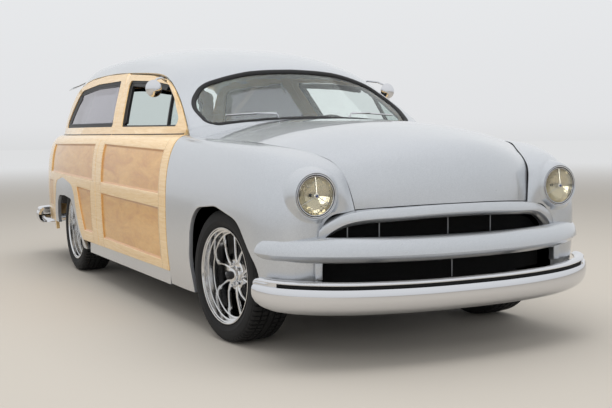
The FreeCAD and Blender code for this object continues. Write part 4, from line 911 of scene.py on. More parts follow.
def arch_edge(sign):
    """The edge of the painted arch at a height, on its front (1) or rear (-1) half."""
    half = sorted((p for p in arch_line if (p.x - arch_top.x) * sign >= 0), key=lambda p: p.y)

    def edge(z):
        if z >= half[-1].y:
            return half[-1].x
        k = next(k for k in range(1, len(half)) if half[k].y >= z)
        t = (z - half[k - 1].y) / max(half[k].y - half[k - 1].y, 1e-6)
        return half[k - 1].x + (half[k].x - half[k - 1].x) * max(t, 0.0) + arch_gap * sign
    return edge


def flat_line(value):
    """A line that stays at one value."""
    return lambda at: value


# Its fourth look is darker amber: painted shade on the bevels
wood_looks = "maple_rail maple_stile birch_panel maple_edge joint_line"

for side, side_name in sides:
    outside = Vector((0.0, side, 0.0))

    def on_flank(column, z, side=side):
        return flank_at(side, column, z)

    rear_edge, front_edge = flat_line(-1.950), flat_line(-0.784)
    upper = (rear_edge, front_edge, level_line(0.697, 0.684), level_line(0.946, 0.921))
    lower = (rear_edge, front_edge, level_line(0.330, 0.318), level_line(0.626, 0.606))
    columns = lines_round(((rear_edge, 1), (front_edge, -1)), rear_shut_line, flat_line(door_front - 0.001),
                          0.05, True)
    rows = lines_round(((lower[2], 1), (lower[3], -1), (upper[2], 1), (upper[3], -1)), flat_line(0.2672),
                       flat_line(1.0028), 0.02, False)
    joints = (moved_line(rear_edge, -joint_from_edge), moved_line(front_edge, joint_from_edge))
    relief_sheet("door_wood_" + side_name, "door_" + side_name, on_flank, outside, columns, rows,
                 (upper, lower), joints)

    middle_low = level_line(0.712, 0.692, -3.535, -2.180)
    panel_rear, panel_front = flat_line(-3.535), flat_line(-2.180)
    field = (panel_rear, panel_front, level_line(0.722, 0.702, -3.535, -2.180),
             level_line(0.936, 0.944, -3.535, -2.180))
    front_line = moved_line(rear_shut_line, -shut_gap - 0.0008)
    columns = lines_round(((panel_rear, 1), (panel_front, -1)), flat_line(-4.030), front_line, 0.04, True)
    rows = lines_round(((field[2], 1), (field[3], -1)), middle_low, flat_line(1.0028), 0.02, False)
    relief_sheet("quarter_wood_upper_" + side_name, "body", on_flank, outside, columns, rows, (field,),
                 (moved_line(panel_rear, -joint_from_edge), moved_line(panel_front, joint_from_edge)),
                 runs_on=("low",))

    rear_edge, front_edge = upright_line(-2.450, -2.612, 0.340, 0.640), flat_line(-2.230)
    field = (rear_edge, front_edge, flat_line(0.340), level_line(0.640, 0.630, -2.612, -2.230))
    columns = lines_round(((rear_edge, 1), (front_edge, -1)), arch_edge(1), front_line, 0.04, True)
    rows = lines_round(((field[2], 1), (field[3], -1)), flat_line(0.2672), middle_low, 0.02, False)
    relief_sheet("quarter_wood_front_" + side_name, "body", on_flank, outside, columns, rows, (field,),
                 (moved_line(front_edge, joint_from_edge),), runs_on=("high",))

    rear_edge, front_edge = flat_line(-3.620), upright_line(-3.470, -3.440, 0.450, 0.650)
    field = (rear_edge, front_edge, flat_line(0.460), flat_line(0.655))
    columns = lines_round(((rear_edge, 1), (front_edge, -1)), flat_line(-4.030), arch_edge(-1), 0.04, False)
    rows = lines_round(((field[2], 1), (field[3], -1)), flat_line(0.3325), middle_low, 0.02, False)
    relief_sheet("quarter_wood_rear_" + side_name, "body", on_flank, outside, columns, rows, (field,), (),
                 runs_on=("high",), sunk=0.13)

# Columns: z, ahead at the centre line, ahead and y at the edge
tailgate_rows = (
    (0.430, -4.178, -4.150, 0.590), (0.600, -4.196, -4.168, 0.590), (0.780, -4.190, -4.160, 0.590),
    (0.900, -4.160, -4.122, 0.590), (0.965, -4.122, -4.080, 0.590), (0.998, -4.080, -4.040, 0.590),
)
liftgate_rows = (
    (1.016, -4.062, -3.912, 0.640), (1.120, -4.000, -3.824, 0.634), (1.240, -3.925, -3.722, 0.616),
    (1.340, -3.862, -3.630, 0.592), (1.456, -3.792, -3.516, 0.562),
)


def tail_at(rows, y, z):
    """A point on the tailgate's or the liftgate's outer face."""
    _, middle_a, edge_a, edge_y = eased(rows, z)
    return Vector((ahead(middle_a + (edge_a - middle_a) * min(1.0, abs(y) / edge_y) ** 2.6), y, z))


tail_fields = []
for low_y, high_y in ((-0.520, -0.035), (0.035, 0.520)):
    tail_fields.append((flat_line(low_y), flat_line(high_y), flat_line(0.500), flat_line(0.880)))
tail_edges = tuple((flat_line(y), sign) for y, sign in ((-0.520, 1), (-0.035, -1), (0.035, 1), (0.520, -1)))
columns = lines_round(tail_edges, flat_line(-0.589), flat_line(0.589), 0.05, True)
rows = lines_round(((flat_line(0.500), 1), (flat_line(0.880), -1)), flat_line(0.436), flat_line(0.990), 0.02,
                   False)
relief_sheet("tailgate_wood", "tailgate", lambda y, z: tail_at(tailgate_rows, y, z), Vector((-1.0, 0.0, 0.0)),
             columns, rows, tail_fields, (flat_line(-0.529), flat_line(0.529)))


# Bars and mouldings of the front and rear

def smooth_line(points, parts):
    """Points through a given line, eased between its own points."""
    rows = [(0.0, *points[0])]
    for before, point in zip(points, points[1:]):
        rows.append((rows[-1][0] + math.dist(before[:3], point[:3]), *point))
    line = []
    for row, following in zip(rows, rows[1:]):
        line += [Vector(eased(rows, row[0] + (following[0] - row[0]) * k / parts)[1:]) for k in range(parts)]
    line.append(Vector(points[-1]))
    return line


def both_ways(half):
    """A left-hand line from the centre, as one line from tip to tip."""
    return [(point[0], -point[1], *point[2:]) for point in reversed(half[1:])] + list(half)


def bar_of(name, slot, look, half, section_at, facing):
    """A bar across the car: (ahead, y, z, scale) down its line, a section of (out, up) at each."""
    line = smooth_line(both_ways(half), line_parts)
    columns = len(line) - 1
    rows = len(section_at(0.0))
    bm, marked = grid(columns, rows)
    for vert, i, j in marked:
        here = line[i]
        along = line[min(i + 1, columns)] - line[max(i - 1, 0)]
        out = Vector((along.y, -along.x, 0.0)).normalized() * facing
        distance, height = section_at(here.y)[j % rows]
        vert.co = Vector((ahead(here.x), here.y, here.z)) + (out * distance + Vector((0, 0, height))) * here.w
    closed_up(bm)
    return from_bmesh(bm, name, "body", slot, look, 30.0)


# Outwards and up from the bar's line, with the crease near the bottom
grille_bar_section = (
    (-0.072, 0.070), (-0.056, 0.075), (-0.042, 0.076), (-0.028, 0.071), (-0.016, 0.061), (-0.007, 0.047),
    (-0.001, 0.031), (0.0025, 0.014), (0.004, -0.002), (-0.004, -0.013), (-0.014, -0.024), (-0.024, -0.031),
    (-0.034, -0.034), (-0.072, -0.035),
)
grille_bar_half = (
    (0.868, 0.0, 0.480, 1.0), (0.858, 0.200, 0.480, 1.0), (0.826, 0.400, 0.481, 1.0),
    (0.768, 0.590, 0.483, 1.0), (0.692, 0.745, 0.486, 0.98), (0.618, 0.835, 0.489, 0.92),
    (0.560, 0.872, 0.492, 0.80), (0.528, 0.884, 0.494, 0.55), (0.518, 0.886, 0.494, 0.30),
)
bumper_half = (
    (0.905, 0.0, 0.300, 1.0), (0.896, 0.220, 0.300, 1.0), (0.868, 0.430, 0.302, 1.0),
    (0.815, 0.620, 0.305, 1.0), (0.735, 0.780, 0.311, 1.0), (0.655, 0.870, 0.318, 0.97),
    (0.590, 0.906, 0.325, 0.92), (0.558, 0.914, 0.329, 0.82), (0.548, 0.915, 0.330, 0.66),
)
rear_bumper_half = (
    (-4.322, 0.0, 0.330, 1.0), (-4.314, 0.300, 0.330, 1.0), (-4.282, 0.550, 0.330, 1.0),
    (-4.212, 0.730, 0.332, 1.0), (-4.110, 0.850, 0.335, 0.97), (-3.990, 0.892, 0.340, 0.93),
    (-3.890, 0.897, 0.344, 0.86), (-3.872, 0.897, 0.345, 0.70),
)
groove_ends_y = 0.885
groove_floor = -0.024


def bumper_section(y):
    """Rolled top lip, slot, tall face and tucked foot; the slot closes before the tips."""
    open_share = min(1.0, max(0.0, (groove_ends_y - abs(y)) / 0.03))
    sunk = -0.011 + (groove_floor + 0.011) * open_share
    return (
        (-0.060, 0.062), (-0.044, 0.0725), (-0.032, 0.074), (-0.021, 0.072), (-0.013, 0.066),
        (-0.0105, 0.060), (-0.0115, 0.0565), (sunk, 0.0550), (sunk, 0.0415), (-0.0060, 0.0400),
        (-0.0030, 0.034), (0.0, 0.024),
        (0.0018, 0.008), (0.0010, -0.012), (-0.0035, -0.032), (-0.013, -0.050), (-0.027, -0.064),
        (-0.044, -0.073), (-0.058, -0.071), (-0.050, -0.058), (-0.034, -0.038), (-0.026, -0.006),
        (-0.032, 0.030), (-0.044, 0.050),
    )


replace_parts(bar_of("floating_bar", "body_paint", "body_paint", grille_bar_half,
                   lambda y: grille_bar_section, 1.0), "grille_bar")
# Height, half width and half depth of a square post's rings
post_rings = ((0.374, 0.026, 0.030), (0.410, 0.0245, 0.029), (0.452, 0.027, 0.031))
quarter_turn = Matrix.Rotation(math.pi / 4, 4, "Z")
bar_posts = bmesh.new()
for side in (-1.0, 1.0):
    places = []
    for height, half_wide, half_deep in post_rings:
        place = Matrix.Translation((ahead(0.664), side * 0.655, height))
        places.append(place @ Matrix.Diagonal((half_deep, half_wide, 1.0, 1.0)) @ quarter_turn)
    lofted(bar_posts, places, 4)
bmesh.ops.bevel(bar_posts, geom=bar_posts.edges[:], offset=0.006, offset_type="OFFSET", segments=3,
                profile=0.5, affect="EDGES", material=-1)
from_bmesh(bar_posts, "floating_bar_posts", "body", "body_paint", "body_paint", 40.0)

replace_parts(bar_of("front_bumper_blade", "chrome", "chrome", bumper_half, bumper_section, 1.0),
            "front_bumper")
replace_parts(bar_of("rear_bumper_blade", "chrome", "chrome", rear_bumper_half, bumper_section,
                   -1.0), "rear_bumper")

# Black filler in the bumper's slot, painted shade of the groove
for blade, half, facing in (("front", bumper_half, 1.0), ("rear", rear_bumper_half, -1.0)):
    filler = [point for point in half if point[1] < groove_ends_y - 0.01]
    strip = ((-0.0300, 0.0550), (-0.0205, 0.0550), (-0.0205, 0.0415), (-0.0300, 0.0415))
    bar_of(blade + "_bumper_slot_shade", "black_paint", "shade_black", filler, lambda y: strip, facing)

# The arched moulding over the grille: across its width from outside in, and forward
surround_half = (
    (0.848, 0.0, 0.661), (0.838, 0.170, 0.658), (0.806, 0.330, 0.650), (0.755, 0.450, 0.641),
    (0.712, 0.530, 0.624), (0.686, 0.590, 0.594), (0.668, 0.626, 0.560), (0.662, 0.640, 0.522),
)
surround_section = (
    (-0.030, -0.050), (-0.030, -0.010), (-0.0290, -0.006), (-0.0265, -0.0035), (-0.0235, -0.0020),
    (0.0060, 0.0052), (0.0085, 0.0050), (0.0105, 0.0036), (0.0270, -0.0200), (0.0290, -0.0240),
    (0.0295, -0.050),
)
moulding_line = [(Vector((ahead(p.x), p.y, p.z)), Vector((1, 0, 0)))
                 for p in smooth_line(both_ways(surround_half), line_parts)]
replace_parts(swept("grille_arch_moulding", "body", "body_paint", "body_paint", moulding_line,
                  surround_section, closed=False, inwards=Vector((ahead(0.7), 0.0, 0.45)),
                  smooth_angle=28.0), "grille_surround")


fender_inside_y = 0.848


def plate_across(name, tree, at, heights, inner_y, side):
    """A plate across the car inside the fender, in matt black that paints the shade there: from inner_y out
    to near the skin at these heights.
    """
    outer = []
    for z in heights:
        place, _, _, _ = tree.ray_cast(Vector((at, side * 1.3, z)), Vector((0, -side, 0)))
        outer.append(Vector((at, side * (abs(place.y) - 0.011 if place else fender_inside_y), z)))
    inner = [Vector((at, side * inner_y, z)) for z in heights]
    bm, marked = grid(1, len(heights) - 1)
    for vert, i, j in marked:
        vert.co = (inner, outer)[i][j]
    bmesh.ops.solidify(bm, geom=bm.faces[:], thickness=0.002)
    from_bmesh(bm, name, "body", "black_paint", "shade_black")


for side, side_name in sides:
    skin_tree = surface("front_fender_" + side_name)
    plate_across("nose_splash_plate_" + side_name, skin_tree, ahead(0.470),
                 (0.25, 0.34, 0.42, 0.50, 0.58, 0.66, 0.72), 0.440, side)
    plate_across("wheel_splash_plate_" + side_name, skin_tree, ahead(-0.425),
                 (0.21, 0.30, 0.40, 0.50, 0.60, 0.70, 0.80, 0.86), 0.45, side)

# The grille: a black back that paints the shade inside the opening, and a few upright bars
grille_rod = 0.0030
grille_top = 0.628
grille_foot = 0.350
grille_corner_y = 0.45
grille_corner_fall = 0.10 / 0.165
grille_shade_back = ((0.730, 0.0), (0.722, 0.190), (0.694, 0.370), (0.645, 0.520), (0.600, 0.615))


back_line = both_ways(grille_shade_back)
bm, marked = grid(len(back_line) - 1, 1)
for vert, i, j in marked:
    a, y = back_line[i]
    top = grille_top - grille_corner_fall * max(0.0, abs(y) - grille_corner_y)
    vert.co = (ahead(a - 0.012), y, top if j else grille_foot)
bmesh.ops.solidify(bm, geom=bm.faces[:], thickness=0.002)
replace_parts(from_bmesh(bm, "grille_shade_back", "body", "black_paint", "shade_black"), "grille_insert")
bm = bmesh.new()
for y, low, high in ((-0.508, 0.49, 0.618), (-0.367, 0.49, 0.626), (-0.029, 0.49, 0.627),
                     (0.217, 0.49, 0.626), (-0.007, 0.352, 0.47)):
    lofted(bm, [Matrix.Translation((ahead(0.742 - 0.28 * y * y), y, z))
                @ Matrix.Diagonal((grille_rod, grille_rod, 1.0, 1.0)) for z in (low, high)])
from_bmesh(bm, "grille_upright_bars", "body", "chrome", "dull_metal")


# Body-colour rim that flows from each headlamp into the fender
fairing_steps = 96
fairing_parts = 10
rim_profile = ((-0.050, 0.0962), (0.0010, 0.0962), (0.0040, 0.0975), (0.0048, 0.0995))
fairing_reach = 0.132
# How the flow leaves the rim: outwards, and back
fairing_out = 0.75
fairing_back = 0.66


def lamp_fairing(side, tree):
    """Rings from the rim's lip, eased along the skin of the fender."""
    centre = Vector((ahead(lamp_ahead), side * lamp_y, lamp_z))
    bm, marked = grid(fairing_steps, len(rim_profile) + fairing_parts - 1)
    landings = []
    for k in range(fairing_steps):
        angle = math.tau * k / fairing_steps
        arm = Vector((0.0, math.cos(angle), math.sin(angle)))
        start = centre + arm * fairing_reach
        place, normal, _, _ = tree.ray_cast(start + Vector((1.0, 0.0, 0.0)), Vector((-1, 0, 0)))
        if place is None:
            place, normal, _, _ = tree.find_nearest(start - Vector((0.06, 0.0, 0.0)))
        normal = normal if normal.x > 0 else -normal
        away = (arm - normal * arm.dot(normal)).normalized()
        landings.append((arm, place - normal * 0.002, away))
    for vert, i, j in marked:
        arm, place, away = landings[i % fairing_steps]
        if j < len(rim_profile):
            forward, radius = rim_profile[j]
            vert.co = centre + arm * radius + Vector((forward, 0.0, 0.0))
            continue
        t = (j - len(rim_profile) + 1) / fairing_parts
        start = centre + arm * rim_profile[-1][1] + Vector((rim_profile[-1][0], 0.0, 0.0))
        reach = (place - start).length
        pull = (arm * fairing_out - Vector((fairing_back, 0.0, 0.0))) * reach
        end_pull = away * reach
        vert.co = (start * (2 * t ** 3 - 3 * t ** 2 + 1) + pull * (t ** 3 - 2 * t ** 2 + t)
                   + place * (3 * t ** 2 - 2 * t ** 3) + end_pull * (t ** 3 - t ** 2))
    return bm


for side, side_name in sides:
    from_bmesh(lamp_fairing(side, surface("front_fender_" + side_name)), "lamp_fairing_" + side_name, "body",
               "body_paint", "body_paint", 50.0)


# Window frames and seals. Side-view outlines: ahead, z, corner radius
door_window = (
    (-1.888, 1.056, 0.014), (-0.770, 1.050, 0.030), (-1.010, 1.215, 0.300), (-1.190, 1.300, 0.110),
    (-1.500, 1.335, 0.300), (-2.075, 1.368, 0.030),
)
quarter_window = (
    (-2.102, 1.058, 0.014), (-3.650, 1.062, 0.030), (-3.475, 1.290, 0.130), (-3.380, 1.352, 0.130),
    (-2.900, 1.380, 0.400), (-2.292, 1.376, 0.020),
)
liftgate_window = (
    (-0.550, 1.072, 0.040), (0.550, 1.072, 0.040), (0.528, 1.240, 0.200), (0.470, 1.340, 0.080),
    (0.0, 1.402, 0.600), (-0.470, 1.340, 0.080), (-0.528, 1.240, 0.200),
)


def frame_along(name, body, side, outline, section, look, closed=True, slot="black_paint"):
    """A strip inside a side window; section is (inwards from the edge, out from the frame's face)."""
    points = divided(rounded(outline, 8) if closed else [Vector(p) for p in outline], 0.05, closed)
    return swept(name + ("_left" if side > 0 else "_right"), body, slot, look, frame_hits(side, points),
                 section, closed=closed,
                 inwards=Vector((ahead(-1.5 if "door" in name else -2.9), side * 0.7, 1.2)))


for side, side_name in sides:
    door_body = "door_" + side_name
    frame_along("quarter_window_channel", "body", side, quarter_window,
                ((0.0002, -0.006), (0.024, -0.008), (0.026, -0.0125), (0.0002, -0.0130)), "rubber")
    frame_along("quarter_window_gasket", "body", side, quarter_window,
                ((0.026, -0.0095), (0.034, -0.0105), (0.035, -0.0130), (0.026, -0.0132)),
                "grey_gasket")
    frame_along("quarter_rear_pillar_trim", "body", side, ((-3.600, 1.085), (-3.455, 1.285), (-3.395, 1.335)),
                ((-0.010, -0.006), (0.070, -0.010), (0.072, -0.0128), (-0.010, -0.0130)),
                "rubber", False)
    frame_along("door_window_channel", door_body, side, door_window,
                ((0.0002, -0.008), (0.012, -0.010), (0.013, -0.030), (0.0002, -0.031)), "rubber")
    for number, (near, far) in enumerate(((0.012, 0.026), (0.038, 0.052))):
        frame_along("door_glass_guide_%d" % (number + 1), door_body, side, ((-1.892, 1.064), (-2.068, 1.356)),
                    ((near, -0.012), (far, -0.012), (far, -0.030), (near, -0.030)),
                    "black_paint", False)
    frame_along("door_top_band", door_body, side, ((-2.050, 1.366), (-1.500, 1.334), (-1.230, 1.304)),
                ((0.002, -0.014), (0.034, -0.014), (0.034, -0.030), (0.002, -0.030)),
                "rubber", False)
    frame_along("door_vent_bar", door_body, side, ((-1.004, 1.052), (-1.100, 1.268)),
                ((-0.009, -0.028), (-0.009, -0.008), (-0.005, -0.005), (0.005, -0.005), (0.009, -0.008),
                 (0.009, -0.028)), "black_paint", False)

# Cowl: the painted strip between the windshield and the hood's rear edge
cowl_half = 0.757
hood_seam_y = 0.694
cowl_columns = 48
cowl_steps = (-0.09, 0.015, 0.18, 0.36, 0.54, 0.72, 0.90, 1.0)
cowl_fall = 0.014
cowl_swell = 0.006
fender_tree = surface("front_fender_left", "front_fender_right")


def cowl_back(y):
    """The roof pressing's front edge."""
    share = abs(y) / cowl_half
    return Vector((ahead(-0.602 - 0.016 * share ** 3), y, 1.018 + 0.060 * (1.0 - share ** 2.6) ** 0.55))


def cowl_front(y):
    """Just behind the hood, and outside it just under the top of the fender."""
    share = abs(y) / hood_seam_y
    if share <= 1.0:
        return Vector((ahead(-0.592 + 0.025 * share ** 1.9), y, 1.086 - 0.103 * share ** 2.1))
    back = -0.567 - 0.040 * (abs(y) - hood_seam_y) / (cowl_half - hood_seam_y)
    place, _, _, _ = fender_tree.ray_cast(Vector((ahead(back), y, 1.3)), Vector((0.0, 0.0, -1.0)))
    return Vector((ahead(back), y, place.z - 0.001 if place else 0.984))


def cowl():
    """Rows from under the roof's edge to the hood, and a last one folded down."""
    bm, marked = grid(len(cowl_steps), cowl_columns)
    for vert, row, _ in marked:
        y = vert.co.y * cowl_half
        back, front = cowl_back(y), cowl_front(y)
        if row < len(cowl_steps):
            step = cowl_steps[row]
            swell = cowl_swell * max(0.0, step * (1.0 - step))
            vert.co = back.lerp(front, step) + Vector((0.5, 0.0, 0.8)) * swell
        else:
            vert.co = front - Vector((0.0, 0.0, cowl_fall))
    return bm


cowl_panel = from_bmesh(cowl(), "cowl_panel", "body", "body_paint", "body_paint", 60.0)

# Windshield seal. The screen is laid out across and up its own slope
screen_rake = math.radians(46.0)
screen_base = Vector((ahead(-0.630), 0.0, 1.092))
screen_up = Vector((-math.cos(screen_rake), 0.0, math.sin(screen_rake)))
screen_out = Vector((math.sin(screen_rake), 0.0, math.cos(screen_rake)))
screen_outline = (
    (-0.640, -0.038, 0.070), (-0.300, -0.012, 0.900), (0.0, 0.0, 0.0), (0.300, -0.012, 0.900),
    (0.640, -0.038, 0.070), (0.672, 0.190, 0.260), (0.560, 0.352, 0.130), (0.280, 0.384, 0.700),
    (0.0, 0.396, 0.0), (-0.280, 0.384, 0.700), (-0.560, 0.352, 0.130), (-0.672, 0.190, 0.260),
)
screen_tree = surface("roof_shell", "windshield", extra=cowl_panel)


def laid_screen(outline):
    """Points of the screen's outline, laid on the body with their normals."""
    hits = []
    for point in outline:
        start = screen_base + Vector((0.0, point.x, 0.0)) + screen_up * point.y + screen_out * 0.5
        place, normal, _, _ = screen_tree.ray_cast(start, -screen_out)
        if place is None:
            place, normal, _, _ = screen_tree.find_nearest(start - screen_out * 0.5)
        hits.append((place, normal if normal.dot(screen_out) > 0 else -normal))
    return hits


screen_line = moved_out(divided(rounded(screen_outline, 8), 0.04), 0.010)
swept("windshield_seal", "body", "tyre", "rubber", laid_screen(screen_line),
      ((-0.004, -0.003), (-0.003, 0.0018), (0.002, 0.0030), (0.012, 0.0020), (0.022, -0.0040),
       (0.024, -0.014), (0.010, -0.016)), smooth_angle=50.0)


def tail_hits(rows, outline):
    """(y, z) points on the tail, with their normals."""
    hits = []
    for point in outline:
        place = tail_at(rows, point.x, point.y)
        across = tail_at(rows, point.x + 0.01, point.y) - place
        upward = tail_at(rows, point.x, point.y + 0.01) - place
        normal = across.cross(upward).normalized()
        hits.append((place, normal if normal.x < 0 else -normal))
    return hits


swept("liftgate_window_seal", "liftgate", "tyre", "rubber",
      tail_hits(liftgate_rows, divided(rounded(liftgate_window, 8), 0.05)),
      ((-0.005, 0.0005), (-0.002, 0.003), (0.006, 0.003), (0.018, -0.004), (0.020, -0.013),
       (0.0003, -0.0135)), smooth_angle=50.0)

# Black strip under the window sills: painted shade of the seam there
for side, side_name in sides:
    for body, name, start, end in (("door_" + side_name, "door_belt_shade_line", -0.680, -2.055),
                                   ("body", "quarter_belt_shade_line", -2.075, -3.930)):
        frame_along(name, body, side, ((start, 1.0075), (end, 1.0075)),
                    ((-0.0030, -0.003), (-0.0026, 0.0008), (0.0026, 0.0008), (0.0030, -0.003)),
                    "rubber", False, "tyre")

# Lip of each front wheel opening, with its corner eased
front_opening = (
    (-0.284, 0.150, 0), (-0.326, 0.372, 0.160), (-0.262, 0.640, 0.130), (0.060, 0.668, 0.260),
    (0.330, 0.618, 0.190), (0.505, 0.420, 0.120), (0.540, 0.150, 0),
)
eased_corner = 2
eased_radius = 0.195
lip_rows = ((0.0, 0.0004), (0.25, 0.0009), (0.88, 0.0009), (0.97, 0.0002), (1.0, -0.0016), (1.0, -0.0200),
            (0.90, -0.0200), (0.85, -0.0040))

for side, side_name in sides:
    skin_tree = surface("front_fender_" + side_name)
    outer_line = moved_out(rounded(front_opening, 12), 0.009)
    eased_opening = [(a, z, eased_radius if k == eased_corner else radius)
                     for k, (a, z, radius) in enumerate(front_opening)]
    inner_line = moved_out(rounded(eased_opening, 12), -0.0015)
    pairs = [(out, inner) for out, inner in zip(outer_line, inner_line) if out.y > 0.17]
    hits = laid_side(skin_tree, side, [out for out, _ in pairs])
    bm, marked = grid(len(pairs) - 1, len(lip_rows))
    for vert, i, j in marked:
        share, rise = lip_rows[j % len(lip_rows)]
        out, inner = pairs[i]
        place = out.lerp(inner, share)
        vert.co = (ahead(place.x), hits[i][0].y + side * rise, place.y)
    closed_up(bm)
    from_bmesh(bm, "wheel_opening_lip_" + side_name, "body", "body_paint", "body_paint", 40.0)


# Seats: a plinth, and cushions swelled by a short cloth run
seat_voxel = 0.012
seat_pressure = 4.0
seat_frames = 20
seat_cap = 0.016
channel_spacing = 0.115
channel_depth = 0.005
channel_half = 0.009


def side_block(profile, half_width):
    """A rounded side profile (ahead, z, radius), carried across the car."""
    outline = rounded(profile, 6)
    bm, marked = grid(len(outline), 24)
    for vert, i, _ in marked:
        point = outline[i % len(outline)]
        vert.co = (ahead(point.x), vert.co.y * half_width, point.y)
    closed_up(bm)
    bmesh.ops.recalc_face_normals(bm, faces=bm.faces)
    return bm


def stuffed(name, profile, half_width):
    """A leather pad: remeshed, swelled by cloth pressure, capped, then sewn into channels."""
    bm = side_block(profile, half_width)
    mesh = bpy.data.meshes.new(name + "_start")
    bm.to_mesh(mesh)
    bm.free()
    start = bpy.data.objects.new(name + "_start", mesh)
    bpy.context.scene.collection.objects.link(start)
    remesh = start.modifiers.new("remesh", "REMESH")
    remesh.mode = "VOXEL"
    remesh.voxel_size = seat_voxel
    base = bpy.data.meshes.new_from_object(start.evaluated_get(bpy.context.evaluated_depsgraph_get()))
    bpy.data.objects.remove(start)
    swelled = [vert.co.copy() for vert in base.vertices]
    soft = bpy.data.objects.new(name + "_cloth", base)
    bpy.context.scene.collection.objects.link(soft)
    cloth = soft.modifiers.new("cloth", "CLOTH")
    cloth.settings.use_pressure = True
    cloth.settings.uniform_pressure_force = seat_pressure
    cloth.settings.effector_weights.gravity = 0.0
    for moment in range(1, seat_frames + 1):
        bpy.context.scene.frame_set(moment)
    result = soft.evaluated_get(bpy.context.evaluated_depsgraph_get()).to_mesh()
    for i, vert in enumerate(result.vertices):
        move = vert.co - base.vertices[i].co
        if move.length > seat_cap:
            move = move.normalized() * seat_cap
        swelled[i] = base.vertices[i].co + move
    bpy.data.objects.remove(soft)
    bpy.context.scene.frame_set(1)
    pad = bmesh.new()
    pad.from_mesh(base)
    bpy.data.meshes.remove(base)
    pad.verts.ensure_lookup_table()
    for vert, place in zip(pad.verts, swelled):
        vert.co = place
    bmesh.ops.smooth_vert(pad, verts=pad.verts, factor=0.5, use_axis_x=True, use_axis_y=True, use_axis_z=True)
    bmesh.ops.subdivide_edges(pad, edges=pad.edges, cuts=1, use_grid_fill=True, smooth=0.0)
    pad.normal_update()
    dents = []
    for vert in pad.verts:
        off = (vert.co.y + channel_spacing / 2.0) % channel_spacing - channel_spacing / 2.0
        dents.append((vert, vert.normal * channel_depth * math.exp(-(off / channel_half) ** 2)))
    for vert, dent in dents:
        vert.co -= dent
    piece = from_bmesh(pad, name, "body", "leather", "leather", 80.0)


for name, front, rear, base_z, cushion_z, back_z, half_width in (
        ("front_seat", -1.250, -1.760, 0.262, 0.520, 0.950, 0.690),
        ("rear_seat", -2.262, -2.680, 0.492, 0.650, 1.010, 0.570)):
    tunnel_half = 0.175 if name == "front_seat" else 0.0
    plinth_top = base_z + 0.45 * (cushion_z - base_z)
    outer_half = half_width - 0.02
    for number, (low_y, high_y) in enumerate(((-outer_half, -tunnel_half), (tunnel_half, outer_half))):
        plinth = side_block(((front - 0.03, base_z + 0.002, 0.01), (front - 0.03, plinth_top, 0.01),
                             (rear - 0.02, plinth_top, 0.01), (rear - 0.02, base_z + 0.002, 0.01)),
                            (high_y - low_y) / 2.0)
        bmesh.ops.translate(plinth, verts=plinth.verts, vec=(0.0, (low_y + high_y) / 2.0, 0.0))
        base_piece = from_bmesh(plinth, "%s_plinth_%d" % (name, number + 1), "body", "leather",
                                "black_paint")
        if number == 0:
            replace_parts(base_piece, name)
    stuffed(name + "_cushion",
            ((front - 0.015, plinth_top + 0.008, 0.03), (front - 0.020, cushion_z - 0.012, 0.05),
             (rear + 0.075, cushion_z - 0.040, 0.02), (rear + 0.075, plinth_top + 0.008, 0.02)),
            half_width - 0.016)
    stuffed(name + "_backrest",
            ((rear + 0.058, plinth_top + 0.03, 0.03), (rear - 0.018, back_z - 0.016, 0.035),
             (rear - 0.092, back_z - 0.020, 0.035), (rear - 0.055, plinth_top + 0.03, 0.02)),
            half_width - 0.016)

# Gauges and a clock on the dashboard
for name, y, z, radius in (("speedometer", 0.355, 0.905, 0.062), ("fuel_gauge", 0.235, 0.905, 0.032),
                           ("heat_gauge", 0.475, 0.905, 0.032), ("clock", -0.300, 0.905, 0.045)):
    place = Matrix.Translation((ahead(-0.842), y, z)) @ Matrix.Rotation(math.pi / 2.0, 4, "Z")
    rim = spun(((-0.006, radius), (0.004, radius + 0.003), (0.007, radius), (0.004, radius - 0.004),
                (-0.006, radius - 0.004)), 40)
    face = spun(((-0.004, 0.0), (-0.004, radius - 0.003), (-0.001, radius - 0.003), (-0.001, 0.0)), 40,
                closed=False)
    for bm, piece_name, key in ((rim, name + "_rim", "chrome"), (face, name + "_face", "cream_dial")):
        bmesh.ops.transform(bm, matrix=place, verts=bm.verts)
        from_bmesh(bm, piece_name, "body", "chrome" if key == "chrome" else "dark_plastic", key)

# Turn handle of the liftgate
handle = spun(((-0.002, 0.0), (-0.002, 0.026), (0.004, 0.026), (0.008, 0.012), (0.030, 0.009), (0.034, 0.0)),
              32, closed=False)
bmesh.ops.transform(handle, verts=handle.verts, matrix=Matrix.Translation((ahead(-4.083), 0.0, 1.045))
                    @ Matrix.Rotation(math.pi / 2.0, 4, "Z"))
rod(handle, [Vector((ahead(-4.113), y, 1.045)) for y in (-0.055, -0.030, 0.0, 0.030, 0.055)], 0.0075, 12)
from_bmesh(handle, "liftgate_turn_handle", "liftgate", "chrome", "chrome")

# Stage, light and camera
camera_at = Vector((ahead(4.407), -2.597, 1.013))
camera_yaw = math.radians(26.81)
camera_pitch = math.radians(4.195)
camera_roll = math.radians(-0.594)
picture_width = 612
focal_pixels = 986.0


def stage_camera():
    """The photograph's viewing angle."""
    look = Vector((-math.cos(camera_yaw) * math.cos(camera_pitch),
                   math.sin(camera_yaw) * math.cos(camera_pitch), -math.sin(camera_pitch)))
    right = look.cross(Vector((0, 0, 1))).normalized()
    up = right.cross(look)
    turned_right = right * math.cos(camera_roll) + up * math.sin(camera_roll)
    turned_up = up * math.cos(camera_roll) - right * math.sin(camera_roll)
    data = bpy.data.cameras.new("camera")
    data.sensor_width = 36.0
    data.lens = focal_pixels / picture_width * 36.0
    data.clip_end = 100.0
    camera = bpy.data.objects.new("camera", data)
    facing = Matrix((turned_right, turned_up, -look)).transposed().to_4x4()
    camera.matrix_world = Matrix.Translation(camera_at) @ facing
    bpy.context.scene.collection.objects.link(camera)
    bpy.context.scene.camera = camera


